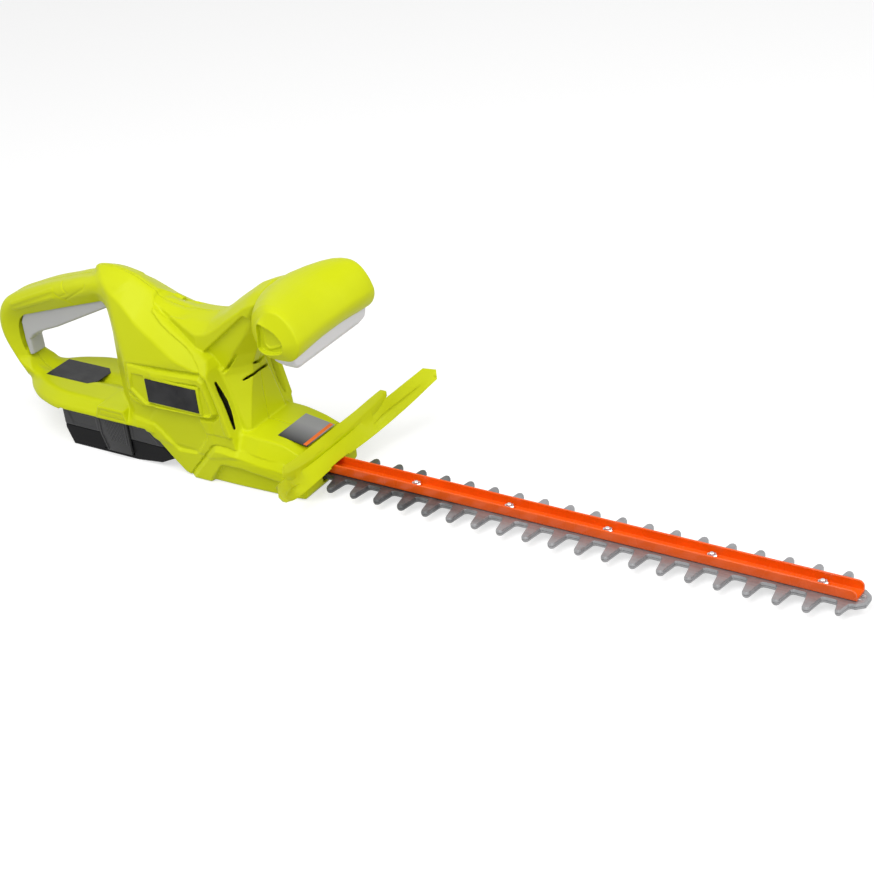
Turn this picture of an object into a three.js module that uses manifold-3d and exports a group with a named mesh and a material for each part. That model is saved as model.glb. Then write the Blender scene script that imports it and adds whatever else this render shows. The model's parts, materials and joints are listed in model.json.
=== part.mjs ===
// Cordless hedge trimmer: D-handled body, front handle with a lever, hand guard, 18 inch bar with
// two reciprocating blades, and a slide-in battery pack.
// Millimetres, +Z up. While it is built, x = 0 is the tip of the first tooth on the right side and
// x grows towards the bar's end, y = 0 is the mid-plane, and z = 0 is the plane between the blades.
// At the end the whole group is moved so that its origin is the bottom centre of its box.
import * as THREE from 'three';
import { mergeVertices } from 'three/addons/utils/BufferGeometryUtils.js';
import Module from 'manifold-3d';

const wasm = await Module();
wasm.setup();

// ---------- Driving dimensions ----------

const gap = 0.3; // clearance between pieces that touch
const slip = 0.5; // clearance round a piece that moves
const wall = 2.5; // housing wall
const ribThick = 2.5;

// Cutting bar
const toothPitch = 22;
const teethPerSide = 19;
const toothReach = 26.7; // tip, from the bar's middle
const toothRootWidth = 11;
const toothTipWidth = 6.5;
const toothNib = 1.8; // corner cut at a tooth's tip
const endToothReach = 21.4;
const stripHalf = 10; // half width of the blade behind the teeth
const bladeThick = 2.2;
const bladeLead = 35; // bar end, ahead of the last full tooth
const supportHalf = 7.5;
const supportThick = 1.5;
const supportHeight = 8.4;
const supportSetback = 6; // the support ends this far behind the blades
const boltCount = 5;
const boltFirst = 65.4;
const boltSetback = 27.2; // last bolt, behind the support's end
const boltRadius = 2;
const boltHeadRadius = 4;
const boltHeadThick = 1.8;
const nutWidth = 7; // across flats
const nutThick = 3.4;

// Drive: motor pinion, drive gear and its two opposed eccentrics
const gearModule = 1.25;
const pinionTeeth = 9;
const gearTeeth = 36;
const pressureAngle = 25;
const addendum = 0.8; // in modules
const dedendum = 1.1;
const backlash = 0.3;
const gearThick = 6;
const stroke = 11; // of one blade, end to end
const eccentricRadius = 11;
const pinRadius = 3;
const shaftRadius = 2.5;
const bushThick = 1.4;
const motorX = -108;
const motorRadius = 18;
const motorLength = 52;
const rotorRadius = 14;

// Body
const floorZ = -9; // the trimmer rests on this plane
const bodyHalf = 41;
const noseHalf = 36;
const deckZ = 38; // deck behind the body, under the grip's window
const gripHalf = 16;
const neckHalf = 25;
const rimZ = 26; // lower rim above the battery
const caseTop = 19.7;
const caseFront = -28;
const caseBack = -127;
const caseHalf = 31;
const caseWall = 3;
const coverThick = 3;

// Battery
const cellRadius = 9.2;
const cellLength = 65;
const cellCount = 5;
const cellPitch = 19.2;
const batteryHalf = 38;
const batteryRear = -263;
const batteryFront = -145;
const bandZ = 10; // joint between the pack's two shells
const stemRear = -200;
const stemFront = -165;
const stemHalf = 18;
const stemTop = 64;
const packWall = 2;
const latchThick = 3;
const latchTravel = 2;
const latchHeight = 30;

// Levers
const triggerHalf = 8;
const triggerTravel = 3; // degrees
const paddleHalf = 47;
const paddleTravel = 4;

// Worked out from the above
const halfStroke = stroke / 2;
const centreDistance = (gearModule * (pinionTeeth + gearTeeth)) / 2;
const gearX = motorX + centreDistance;
const lastTooth = (teethPerSide - 1) * toothPitch;
const barEnd = lastTooth + bladeLead;
const supportEnd = barEnd - supportSetback;
const upperBladeZ = gap / 2;
const lowerBladeZ = -gap / 2 - bladeThick;
const supportZ = upperBladeZ + bladeThick + gap;
const coverTop = floorZ + coverThick;
const motorZ = caseTop + gap;
const reach = 2 * barEnd; // past everything, for blocks that cut right through

// ---------- Solids ----------

// Six times the volume inside a closed mesh, negative where its faces point inwards.
function signedVolume(points, triangles) {
  const corner = (i) => new THREE.Vector3().fromArray(points, 3 * triangles[i]);
  let sum = 0;
  for (let i = 0; i < triangles.length; i += 3) {
    sum += corner(i).dot(corner(i + 1).cross(corner(i + 2)));
  }
  return sum;
}

function toSolid(geometry) {
  const bare = geometry.index ? geometry.toNonIndexed() : geometry.clone();
  bare.deleteAttribute('normal');
  bare.deleteAttribute('uv');
  const merged = mergeVertices(bare, 1e-4);
  const vertProperties = new Float32Array(merged.attributes.position.array);
  const triVerts = new Uint32Array(merged.index.array);
  if (signedVolume(vertProperties, triVerts) < 0) triVerts.reverse();
  return new wasm.Manifold(new wasm.Mesh({ numProp: 3, vertProperties, triVerts }));
}

function toGeometry(solid) {
  const mesh = solid.getMesh();
  const geometry = new THREE.BufferGeometry();
  geometry.setAttribute('position', new THREE.BufferAttribute(Float32Array.from(mesh.vertProperties), 3));
  geometry.setIndex(new THREE.BufferAttribute(Uint32Array.from(mesh.triVerts), 1));
  geometry.computeVertexNormals();
  return geometry;
}

const join = (first, ...rest) => rest.reduce((sum, next) => sum.add(next), first);
const cut = (first, ...rest) => rest.reduce((sum, next) => sum.subtract(next), first);

function block(x0, x1, y0, y1, z0, z1) {
  const box = new THREE.BoxGeometry(x1 - x0, y1 - y0, z1 - z0);
  return toSolid(box.translate((x0 + x1) / 2, (y0 + y1) / 2, (z0 + z1) / 2));
}

function rod(radius, x, y, z0, z1, sides = 24) {
  const cylinder = new THREE.CylinderGeometry(radius, radius, z1 - z0, sides);
  return toSolid(cylinder.rotateX(Math.PI / 2).translate(x, y, (z0 + z1) / 2));
}

function crossRod(radius, x, z, y0, y1, sides = 16) {
  const cylinder = new THREE.CylinderGeometry(radius, radius, y1 - y0, sides);
  return toSolid(cylinder.translate(x, (y0 + y1) / 2, z));
}

// A profile of radius and height, turned about a vertical axis.
function turned(profile, x, y, sides = 24) {
  const points = profile.map(([r, z]) => new THREE.Vector2(r, z));
  return toSolid(new THREE.LatheGeometry(points, sides).rotateX(Math.PI / 2).translate(x, y, 0));
}

const outlineOf = (points) => new THREE.Shape(points.map(([a, b]) => new THREE.Vector2(a, b)));

// An outline in plan, raised from z0 to z1.
function plate(shape, z0, z1) {
  const flat = new THREE.ExtrudeGeometry(shape, { depth: z1 - z0, bevelEnabled: false, curveSegments: 6 });
  return toSolid(flat.translate(0, 0, z0));
}

// A side outline in x and z, spread to both sides of the mid-plane. Its edges are bevelled, and
// inset draws every face inwards by that much.
function slab(points, half, { bevel = 0, inset = 0 } = {}) {
  const depth = 2 * (half - inset - bevel);
  const shape = outlineOf(points);
  const flat = new THREE.ExtrudeGeometry(shape, {
    depth,
    bevelEnabled: bevel > 0 || inset !== 0,
    bevelThickness: Math.max(bevel, 1e-3),
    bevelSize: bevel,
    bevelOffset: -bevel - inset,
    bevelSegments: 2,
  });
  return toSolid(flat.translate(0, 0, -depth / 2).rotateX(Math.PI / 2));
}

// A closed skin through a row of rings that all have the same number of points.
function loft(rings) {
  const count = rings[0].length;
  const positions = rings.flat(2);
  const faces = [];
  for (let r = 0; r + 1 < rings.length; r += 1) {
    for (let i = 0; i < count; i += 1) {
      const a = r * count + i;
      const b = r * count + ((i + 1) % count);
      faces.push(a, b, a + count, b, b + count, a + count);
    }
  }
  const last = (rings.length - 1) * count;
  for (let i = 1; i + 1 < count; i += 1) {
    faces.push(0, i + 1, i);
    faces.push(last, last + i, last + i + 1);
  }
  const geometry = new THREE.BufferGeometry();
  geometry.setAttribute('position', new THREE.Float32BufferAttribute(positions, 3));
  geometry.setIndex(faces);
  return toSolid(geometry);
}

const mirrored = (half) => [...half, ...half.slice().reverse().map(([a, b]) => [-a, b])];

class Helix extends THREE.Curve {
  constructor(radius, height, turns) {
    super();
    this.radius = radius;
    this.height = height;
    this.turns = turns;
  }

  getPoint(t, target = new THREE.Vector3()) {
    const angle = t * this.turns * 2 * Math.PI;
    return target.set(this.radius * Math.cos(angle), this.radius * Math.sin(angle), t * this.height);
  }
}

const springWire = 0.6;
const springTurns = 5;

// A coil spring along +Z from the origin.
function coil(radius, height) {
  const wire = outlineOf(Array.from({ length: 5 }, (_, i) => (
    [springWire * Math.cos(0.4 * Math.PI * i), springWire * Math.sin(0.4 * Math.PI * i)]
  )));
  return new THREE.ExtrudeGeometry(wire, {
    steps: springTurns * 8,
    extrudePath: new Helix(radius, height - 2 * springWire, springTurns),
  }).translate(0, 0, springWire);
}

// ---------- Group ----------

const trimmer = new THREE.Group();

const finishes = {
  lime: { color: 0xc3d41f, roughness: 0.42, metalness: 0 },
  triggerGrey: { color: 0xa3a3a5, roughness: 0.5, metalness: 0 },
  paddleGrey: { color: 0xc4c4c6, roughness: 0.5, metalness: 0 },
  batteryDark: { color: 0x2d2d2f, roughness: 0.45, metalness: 0 },
  batteryBlack: { color: 0x131314, roughness: 0.5, metalness: 0 },
  label: { color: 0x1a1a1c, roughness: 0.35, metalness: 0 },
  orangeSteel: { color: 0xe84c10, roughness: 0.35, metalness: 0.2 },
  blade: { color: 0x77797b, roughness: 0.35, metalness: 1 },
  zinc: { color: 0xd6d8da, roughness: 0.25, metalness: 1 },
  steel: { color: 0x9a9c9f, roughness: 0.35, metalness: 1 },
  castAlloy: { color: 0x9d9fa2, roughness: 0.5, metalness: 1 },
  cellWrap: { color: 0x2f7f4f, roughness: 0.4, metalness: 0 },
  board: { color: 0x1f5b34, roughness: 0.5, metalness: 0 },
  copper: { color: 0xb06a3a, roughness: 0.35, metalness: 1 },
  switchBlack: { color: 0x202022, roughness: 0.5, metalness: 0 },
};

function add(name, shape, finish) {
  const geometry = shape.isBufferGeometry ? shape : toGeometry(shape);
  const mesh = new THREE.Mesh(geometry, new THREE.MeshStandardMaterial(finishes[finish]));
  mesh.name = name;
  trimmer.add(mesh);
  return mesh;
}

// ---------- Blades, support and their bolts ----------

const boltSpacing = (supportEnd - boltSetback - boltFirst) / (boltCount - 1);
const boltXs = Array.from({ length: boltCount }, (_, i) => boltFirst + i * boltSpacing);
const slotHalf = boltRadius + slip;
const yokeHalfX = eccentricRadius + 5.5;
const slotHalfX = eccentricRadius + 0.23 * halfStroke + slip; // room for the crank's sine
const slotHalfY = eccentricRadius + halfStroke + slip;
const yokeHalfY = slotHalfY + 5;

function toothPoints(x, side, reach, root, tip) {
  return [
    [x - root / 2, stripHalf],
    [x - tip / 2, reach - toothNib],
    [x - tip / 2 + toothNib, reach],
    [x + tip / 2 - toothNib, reach],
    [x + tip / 2, reach - toothNib],
    [x + root / 2, stripHalf],
  ].map(([px, py]) => [px, side * py]);
}

function bladeShape() {
  const right = [];
  const left = [];
  for (let i = 0; i < teethPerSide; i += 1) {
    right.push(...toothPoints(i * toothPitch, -1, toothReach, toothRootWidth, toothTipWidth));
    left.push(...toothPoints((i + 0.5) * toothPitch, 1, toothReach, toothRootWidth, toothTipWidth));
  }
  const endTooth = lastTooth + toothPitch - 1;
  right.push(...toothPoints(endTooth, -1, endToothReach, toothRootWidth - 2, toothTipWidth - 1.5));
  const neckX = gearX + yokeHalfX;
  const tailX = gearX - yokeHalfX;
  const outline = [
    [tailX, -yokeHalfY],
    [neckX, -yokeHalfY],
    [neckX + 8, -stripHalf],
    ...right,
    [barEnd - 6, -stripHalf],
    [barEnd, -stripHalf + 5],
    [barEnd, stripHalf - 5],
    [barEnd - 6, stripHalf],
    ...left.reverse(),
    [neckX + 8, stripHalf],
    [neckX, yokeHalfY],
    [tailX, yokeHalfY],
  ];
  const shape = outlineOf(outline);
  const yokeSlot = new THREE.Path();
  yokeSlot.moveTo(gearX - slotHalfX, -slotHalfY);
  yokeSlot.lineTo(gearX - slotHalfX, slotHalfY);
  yokeSlot.lineTo(gearX + slotHalfX, slotHalfY);
  yokeSlot.lineTo(gearX + slotHalfX, -slotHalfY);
  yokeSlot.closePath();
  shape.holes.push(yokeSlot);
  for (const x of boltXs) {
    const slot = new THREE.Path();
    slot.absarc(x - halfStroke, 0, slotHalf, Math.PI / 2, 1.5 * Math.PI);
    slot.absarc(x + halfStroke, 0, slotHalf, -Math.PI / 2, Math.PI / 2);
    slot.closePath();
    shape.holes.push(slot);
  }
  return shape;
}

const bladeFlat = new THREE.ExtrudeGeometry(bladeShape(), {
  depth: bladeThick, bevelEnabled: false, curveSegments: 4,
});
add('upper_blade', bladeFlat.clone().translate(0, 0, upperBladeZ), 'blade');
add('lower_blade', bladeFlat.clone().translate(0, 0, lowerBladeZ), 'blade');

const supportTop = supportZ + supportHeight;
const supportFloorTop = supportZ + supportThick;
const supportBack = gearX + yokeHalfX + halfStroke + 3;

function bladeSupport() {
  const cornerCut = 3;
  const side = slab([
    [supportBack, supportZ], [supportEnd, supportZ], [supportEnd, supportTop - cornerCut],
    [supportEnd - cornerCut, supportTop], [supportBack, supportTop],
  ], supportHalf);
  const channel = block(supportBack - 1, supportEnd + 1, supportThick - supportHalf,
    supportHalf - supportThick, supportFloorTop, supportTop + 1);
  const holes = boltXs.map((x) => rod(boltRadius + gap, x, 0, supportZ - 1, supportFloorTop + 1, 12));
  return cut(side, channel, ...holes);
}
add('blade_support', bladeSupport(), 'orangeSteel');

const nutZ = supportFloorTop + gap;
const boltEnd = nutZ + nutThick + 1.6;

boltXs.forEach((x, i) => {
  const head = lowerBladeZ - gap;
  const profile = [
    [0, head - boltHeadThick], [boltHeadRadius - 0.8, head - boltHeadThick], [boltHeadRadius, head - 0.8],
    [boltHeadRadius, head], [boltRadius, head], [boltRadius, boltEnd - 0.9], [boltRadius * 0.6, boltEnd],
    [0, boltEnd],
  ];
  add(`blade_bolt_${i + 1}`, turned(profile, x, 0, 14), 'zinc');
  const nut = rod(nutWidth / Math.sqrt(3), x, 0, nutZ, nutZ + nutThick, 6);
  add(`blade_nut_${i + 1}`, cut(nut, rod(boltRadius + gap, x, 0, nutZ - 1, boltEnd + 1, 12)), 'zinc');
});

// ---------- Drive gear, pinion and pins ----------

// Involute flanks, with each tooth thinned by the backlash. Tooth 0 points along first.
function gearShape(teeth, first) {
  const pitchRadius = (gearModule * teeth) / 2;
  const baseRadius = pitchRadius * Math.cos(THREE.MathUtils.degToRad(pressureAngle));
  const tipRadius = pitchRadius + addendum * gearModule;
  const rootRadius = pitchRadius - dedendum * gearModule;
  const involute = (r) => {
    const a = Math.acos(Math.min(1, baseRadius / r));
    return Math.tan(a) - a;
  };
  const halfTooth = Math.PI / (2 * teeth) - backlash / (2 * pitchRadius) + involute(pitchRadius);
  const flankStart = Math.max(baseRadius, rootRadius);
  const radii = [rootRadius, flankStart, (flankStart + pitchRadius) / 2, pitchRadius, tipRadius];
  const flank = radii.filter((r, i) => i === 0 || r > radii[i - 1] + 1e-6);
  const points = [];
  for (let i = 0; i < teeth; i += 1) {
    const middle = first + (i * 2 * Math.PI) / teeth;
    const side = flank.map((r) => [r, halfTooth - involute(Math.max(r, baseRadius))]);
    for (const [r, a] of side) points.push([r * Math.cos(middle - a), r * Math.sin(middle - a)]);
    for (const [r, a] of side.reverse()) points.push([r * Math.cos(middle + a), r * Math.sin(middle + a)]);
  }
  return outlineOf(points);
}

const gearZ = supportZ + 2;
const gearTop = gearZ + gearThick;
const gearBore = pinRadius + bushThick + 2 * gap;
const gearHub = 13;

function driveGear() {
  const wheel = plate(gearShape(gearTeeth, Math.PI), gearZ, gearTop).translate([gearX, 0, 0]);
  const upper = rod(eccentricRadius, gearX, -halfStroke, 0, supportZ, 32);
  const lower = rod(eccentricRadius, gearX, halfStroke, lowerBladeZ, 0.05, 32);
  const hub = rod(gearHub, gearX, 0, supportZ - 0.05, gearZ + 0.05, 32);
  return cut(join(wheel, upper, lower, hub), rod(gearBore, gearX, 0, lowerBladeZ - 1, gearTop + 1));
}
add('drive_gear', driveGear(), 'steel');

function ring(outer, inner, x, y, z0, z1, sides = 24) {
  return cut(rod(outer, x, y, z0, z1, sides), rod(inner, x, y, z0 - 1, z1 + 1, sides));
}

const pinBottom = coverTop + gap;
const pinTop = caseTop - 1;
add('gear_pin', rod(pinRadius, gearX, 0, pinBottom, pinTop), 'steel');
add('gear_bush', ring(pinRadius + gap + bushThick, pinRadius + gap, gearX, 0, lowerBladeZ, gearTop), 'copper');

const shaftBottom = gearZ - 0.5;
const fanZ = motorZ + motorLength + 2;
const fanThick = 6;
const shaftTop = fanZ + fanThick + 1;

const pinion = plate(gearShape(pinionTeeth, Math.PI / pinionTeeth), gearZ, gearTop).translate([motorX, 0, 0]);
add('pinion', cut(pinion, rod(shaftRadius + gap, motorX, 0, gearZ - 1, gearTop + 1, 16)), 'steel');

// ---------- Motor ----------

const canWall = 1.8;
const motorTop = motorZ + motorLength;
const shaftHole = shaftRadius + slip;

function motorCan() {
  const shell = rod(motorRadius, motorX, 0, motorZ, motorTop, 32);
  const hollow = rod(motorRadius - canWall, motorX, 0, motorZ + canWall, motorTop - canWall, 32);
  const ventTop = motorTop - canWall - 4;
  const vents = block(motorX - 5, motorX + 5, -motorRadius - 1, motorRadius + 1, ventTop - 6, ventTop);
  return cut(shell, hollow, vents, rod(shaftHole, motorX, 0, motorZ - 1, motorTop + 1, 16));
}
add('motor_can', motorCan(), 'steel');

const rotorEnd = 6;
add('motor_rotor', join(
  rod(shaftRadius, motorX, 0, shaftBottom, shaftTop, 16),
  rod(rotorRadius, motorX, 0, motorZ + rotorEnd, motorTop - rotorEnd),
), 'copper');

const bearingOuter = 6;
const bearingZ = gearTop + 3;
add('motor_bearing', ring(bearingOuter, shaftRadius + gap, motorX, 0, bearingZ, caseTop - 0.5), 'steel');

const fanRadius = 15;
const fanHub = 5;
const fanBlades = 7;

function coolingFan() {
  const hub = rod(fanHub, motorX, 0, fanZ, fanZ + fanThick, 20);
  const blades = Array.from({ length: fanBlades }, (_, i) => (
    block(fanHub - 1, fanRadius, -0.8, 0.8, fanZ, fanZ + fanThick)
      .rotate([0, 0, (i * 360) / fanBlades])
      .translate([motorX, 0, 0])
  ));
  return cut(join(hub, ...blades), rod(shaftRadius + gap, motorX, 0, fanZ - 1, fanZ + fanThick + 1, 16));
}
add('cooling_fan', coolingFan(), 'switchBlack');

// ---------- Gear case and bottom cover ----------

const mouthHalf = stripHalf + slip;
const gearRoom = gearTop + slip;
const yokeRoomX = yokeHalfX + halfStroke + slip + 0.5;

function gearCase() {
  const shell = block(caseBack, caseFront, -caseHalf, caseHalf, coverTop + gap, caseTop);
  const room = block(gearX - yokeRoomX, caseFront - caseWall, caseWall - caseHalf, caseHalf - caseWall,
    floorZ, gearRoom);
  const pinionRoom = rod(pinionRoomRadius, motorX, 0, floorZ, gearRoom);
  const mouth = block(caseFront - caseWall - 1, caseFront + 1, -mouthHalf, mouthHalf,
    lowerBladeZ - boltHeadThick - slip, supportTop + gap);
  const pinHole = rod(pinRadius + gap, gearX, 0, gearRoom - 1, caseTop - 0.5);
  const bearingSeat = rod(bearingOuter + gap, motorX, 0, bearingZ - gap, caseTop + 1);
  const shaftWay = rod(shaftHole, motorX, 0, gearRoom - 1, bearingZ, 16);
  return cut(shell, room, pinionRoom, mouth, pinHole, bearingSeat, shaftWay);
}
const pinionRoomRadius = (gearModule * pinionTeeth) / 2 + addendum * gearModule + 2;
add('gear_case', gearCase(), 'castAlloy');
add('bottom_cover', block(caseBack, caseFront, -caseHalf, caseHalf, floorZ, coverTop), 'castAlloy');

// ---------- Housing volumes ----------

// Body and base, from the heel below the grip to the nose under the guard. Each section is given by
// its floor, its deck, its widest half width and the half widths of its floor and deck.
const tubSections = [
  [-322, 30, 46, 9, 6, 6],
  [-313, 26, 43, 18, 13, 13],
  [-300, rimZ - 1, deckZ + 1, 27, 22, 21],
  [-281, rimZ - 1, deckZ, 36, 32, 28],
  [-264, rimZ - 0.5, deckZ, bodyHalf, bodyHalf - 3, bodyHalf - 11],
  [-168, rimZ, deckZ + 2, bodyHalf, bodyHalf - 2, bodyHalf - 9],
  [-143, 2, 58, bodyHalf, bodyHalf - 2, bodyHalf - 5],
  [-128, floorZ, 58, bodyHalf, bodyHalf - 4, bodyHalf - 5],
  [-100, floorZ, 56, bodyHalf - 1, bodyHalf - 4, bodyHalf - 7],
  [-78, floorZ, 37, bodyHalf - 3, bodyHalf - 5, bodyHalf - 11],
  [-46, floorZ, 34, noseHalf + 1, noseHalf - 1, noseHalf - 10],
  [-15, floorZ, 29, noseHalf - 1, noseHalf - 4, noseHalf - 14],
];

function tub(inset) {
  const last = tubSections.length - 1;
  return loft(tubSections.map(([x, low, high, half, floorHalf, deckHalf], i) => {
    const sx = x + (i === 0 ? inset : 0) - (i === last ? inset : 0);
    const z0 = low + inset;
    const z1 = high - inset;
    const rise = (high - low) * 0.22;
    const side = [
      [floorHalf - inset, z0],
      [half - inset, z0 + rise],
      [half - inset, z1 - rise],
      [deckHalf + 3 - inset, z1 - 1.2],
      [deckHalf - 4 - inset, z1],
    ];
    return mirrored(side).map(([y, z]) => [sx, y, z]);
  }));
}

// Motor housing between the deck and the hump: half widths by height.
const towerSections = [
  [30, -207, -76, bodyHalf, 30],
  [52, -206, -73, bodyHalf, 28],
  [84, -206, -71, bodyHalf - 1, 27],
  [104, -207, -69, bodyHalf - 9, 26],
  [114, -208, -67, bodyHalf - 14, 24],
];

function tower(inset) {
  const last = towerSections.length - 1;
  return loft(towerSections.map(([z, back, front, half, frontHalf], i) => {
    const sz = z + (i === 0 ? inset : 0) - (i === last ? inset : 0);
    const x0 = back + inset;
    const x1 = front - inset;
    const side = [
      [half * 0.55 - inset, x0],
      [half - inset, x0 + 14],
      [half - inset, -112],
      [frontHalf - inset, x1 - 10],
      [frontHalf * 0.6 - inset, x1],
    ];
    return mirrored(side).map(([y, x]) => [x, y, sz]);
  }));
}

// Hump over the motor, and the neck that carries the front handle: place, underside, top and half
// width of each section.
const humpSections = [
  [-236, 110, 139.5, 15],
  [-224, 104, 144.5, 19],
  [-212, 98, 146.5, 23],
  [-202, 96, 145, neckHalf],
  [-183, 96, 139, neckHalf + 1],
  [-170, 96, 133.5, neckHalf + 1],
  [-163, 96, 129.5, neckHalf + 1],
  [-146, 96, 125, neckHalf + 1],
  [-125, 96, 124, neckHalf + 1],
  [-101, 96, 125.5, neckHalf + 1],
  [-88, 98, 134, neckHalf + 1],
  [-66, 104, 150, neckHalf],
  [-52, 114, 157, neckHalf],
  [-30, 122, 152, neckHalf - 1],
];
// The arch of a section, as shares of its half width and height.
const archShape = [[1, 0], [1, 0.3], [0.93, 0.62], [0.74, 0.85], [0.42, 0.97], [0.12, 1]];

function hump(inset) {
  const last = humpSections.length - 1;
  return loft(humpSections.map(([x, low, high, half], i) => {
    const sx = x + (i === 0 ? inset : 0) - (i === last ? inset : 0);
    const side = archShape.map(([u, v]) => [u * (half - inset), low + inset + v * (high - low - 2 * inset)]);
    return mirrored(side).map(([y, z]) => [sx, y, z]);
  }));
}

const gripOutline = [
  [-204, 139], [-234, 138], [-256, 130.5], [-281, 123], [-306, 113.5], [-325, 106], [-335, 98.5],
  [-341.5, 87], [-343, 74], [-340, 58], [-331, 42], [-324, 30], [-304, 27], [-204, 30],
];
const windowOutline = [
  [-207, 96], [-214, 110], [-220, 116], [-302, 91], [-314, 86], [-317, 75], [-310, 54], [-302, 38], [-294, 34], [-208, 34],
];
const gripBevel = 7;

function grip(inset) {
  const bar = slab(gripOutline, gripHalf, { bevel: gripBevel, inset });
  return cut(bar, slab(windowOutline, gripHalf + 1, { inset: -inset }));
}

const body = (inset) => join(tub(inset), tower(inset), hump(inset), grip(inset));

// ---------- Battery ----------

const rimGap = 0.6; // between the pack and the housing round it
const packTop = rimZ - rimGap;
const packOutline = [
  [batteryRear, packTop], [batteryRear, 6], [batteryRear + 5, floorZ],
  [-187, floorZ], [-161, -6], [batteryFront, 1.5], [batteryFront - 24, packTop],
];
const packBevel = 3;
const cellZ = 5;
const firstCellX = batteryRear + packWall + 15;
const cradleY = 20;
const cradleThick = 2;
const latchX = [-222, -190];
const latchPocket = cellLength / 2 + gap + packWall;
const latchBack = latchPocket + gap + latchTravel;
const stem = (grow) => block(stemRear - grow, stemFront + grow, -stemHalf - grow, stemHalf + grow,
  packTop - 2, stemTop + grow);

function pack() {
  const outer = slab(packOutline, batteryHalf, { bevel: packBevel });
  const inner = slab(packOutline, batteryHalf, { bevel: packBevel, inset: packWall });
  const stemRoom = block(stemRear + packWall, stemFront - packWall, packWall - stemHalf, stemHalf - packWall,
    bandZ, stemTop - packWall);
  const pockets = [-1, 1].map((side) => {
    const y = [side * latchPocket, side * (batteryHalf + 2)].sort((a, b) => a - b);
    return block(latchX[0] - slip, latchX[1] + slip, ...y, packTop - latchHeight - slip, packTop + 1);
  });
  const backs = [-1, 1].map((side) => {
    const y = [side * (latchPocket - packWall), side * latchPocket].sort((a, b) => a - b);
    return block(latchX[0] - slip - packWall, latchX[1] + slip + packWall, ...y, floorZ, packTop);
  });
  const cellRoom = cellXs.map((x) => crossRod(cellRadius + gap, x, cellZ, -cellLength / 2 - gap,
    cellLength / 2 + gap));
  const cradles = [-cradleY, cradleY].map((y) => block(cellXs[0], cellXs[cellCount - 1], y - cradleThick / 2,
    y + cradleThick / 2, floorZ, cellZ - 2));
  const hollow = cut(inner, ...backs.map((b) => b.intersect(outer)), ...cradles.map((c) => c.intersect(outer)));
  return cut(join(outer, stem(0)), hollow, stemRoom, ...cellRoom, ...pockets);
}
const cellXs = Array.from({ length: cellCount }, (_, i) => firstCellX + i * cellPitch);
const packShell = pack();
add('battery_base', packShell.intersect(block(-reach, 0, -reach, reach, -reach, bandZ - gap / 2)), 'batteryBlack');
add('battery_top', packShell.intersect(block(-reach, 0, -reach, reach, bandZ + gap / 2, reach)), 'batteryDark');
cellXs.forEach((x, i) => {
  add(`cell_${i + 1}`, crossRod(cellRadius, x, cellZ, -cellLength / 2, cellLength / 2), 'cellWrap');
});
for (const [name, side] of [['battery_latch_right', -1], ['battery_latch_left', 1]]) {
  const y = [side * latchBack, side * (latchBack + latchThick)].sort((a, b) => a - b);
  add(name, block(...latchX, ...y, packTop - latchHeight, packTop), 'batteryDark');
}
const contactThick = 3;
const contactHalf = 9;
const contactInset = 6;
add('battery_contacts', block(stemRear + contactInset, stemFront - contactInset, -contactHalf, contactHalf,
  stemTop + gap, stemTop + gap + contactThick), 'copper');

// ---------- Front handle and its lever ----------

// Half width from the mid-plane, back, front, top and underside.
const handleHalf = 55;
const handleTop = 166;
const handleSections = [
  [handleHalf, -17, 6, handleTop - 13, 133],
  [handleHalf - 1, -21, 8.5, handleTop - 9, 129],
  [handleHalf - 3, -25, 12, handleTop - 4.5, 126],
  [handleHalf - 9, -33, 13, handleTop - 1.5, 124],
  [36, -41, 13, handleTop - 0.5, 123],
  [25, -47, 12.5, handleTop, 123],
  [13, -52, 12, handleTop, 123],
];
// The section's shape, as shares of its width and height.
const handleShape = [
  [0, 0.45], [0.06, 0.72], [0.2, 0.93], [0.42, 1], [0.68, 0.96], [0.88, 0.78],
  [0.98, 0.55], [1, 0.4], [0.95, 0.2], [0.75, 0.02], [0.3, 0], [0.08, 0.15],
];

function handle(inset) {
  const ringAt = ([y, back, front, top, low], side) => handleShape.map(([u, v]) => [
    back + inset + u * (front - back - 2 * inset), side * (y - inset), low + inset + v * (top - low - 2 * inset),
  ]);
  const right = handleSections.map((section) => ringAt(section, -1));
  const left = handleSections.map((section) => ringAt(section, 1)).reverse();
  return loft([...right, ...left]);
}

const paddleTopZ = 134;
const paddleOutline = [
  [-17, paddleTopZ], [-17, 119], [-9, 113.5], [1, 113.5], [4.5, 118], [5, paddleTopZ],
];
const paddleBevel = 3;
const paddleRoom = join(
  slab(paddleOutline, paddleHalf, { inset: -slip }),
  slab(paddleOutline, paddleHalf, { inset: -slip }).translate([0, 0, paddleTravel]),
);
const frontHandle = cut(handle(0), handle(wall), hump(-gap), paddleRoom);
add('front_handle', frontHandle, 'lime');
add('front_paddle', slab(paddleOutline, paddleHalf, { bevel: paddleBevel }), 'paddleGrey');

const frontSwitchX = [-24, -4];
const frontSwitchZ = [144, 154];
const frontSwitchHalf = 8;
add('front_switch', block(...frontSwitchX, -frontSwitchHalf, frontSwitchHalf, ...frontSwitchZ), 'switchBlack');
const springRadius = 3;
const paddleSpringX = -11;
const paddleSpringLength = frontSwitchZ[0] - paddleTopZ - 2 * gap;
add('front_paddle_spring', toSolid(coil(springRadius, paddleSpringLength))
  .translate([paddleSpringX, 0, paddleTopZ + gap]), 'zinc');

// ---------- Rear trigger ----------

const pivot = [-221, 122];
const pivotLug = 4.5;
const pivotPin = 2;
const triggerTopFront = [-222, 118.5];
const triggerTopRear = [-304, 94.5];
const triggerOutline = [
  [-216, 111.5], triggerTopFront, triggerTopRear, [-317, 89.5], [-321.5, 80], [-321.5, 63], [-315, 48],
  [-305, 52], [-302.5, 56.5], [-309, 67.5], [-301, 74], [-280, 82],
];

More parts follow.
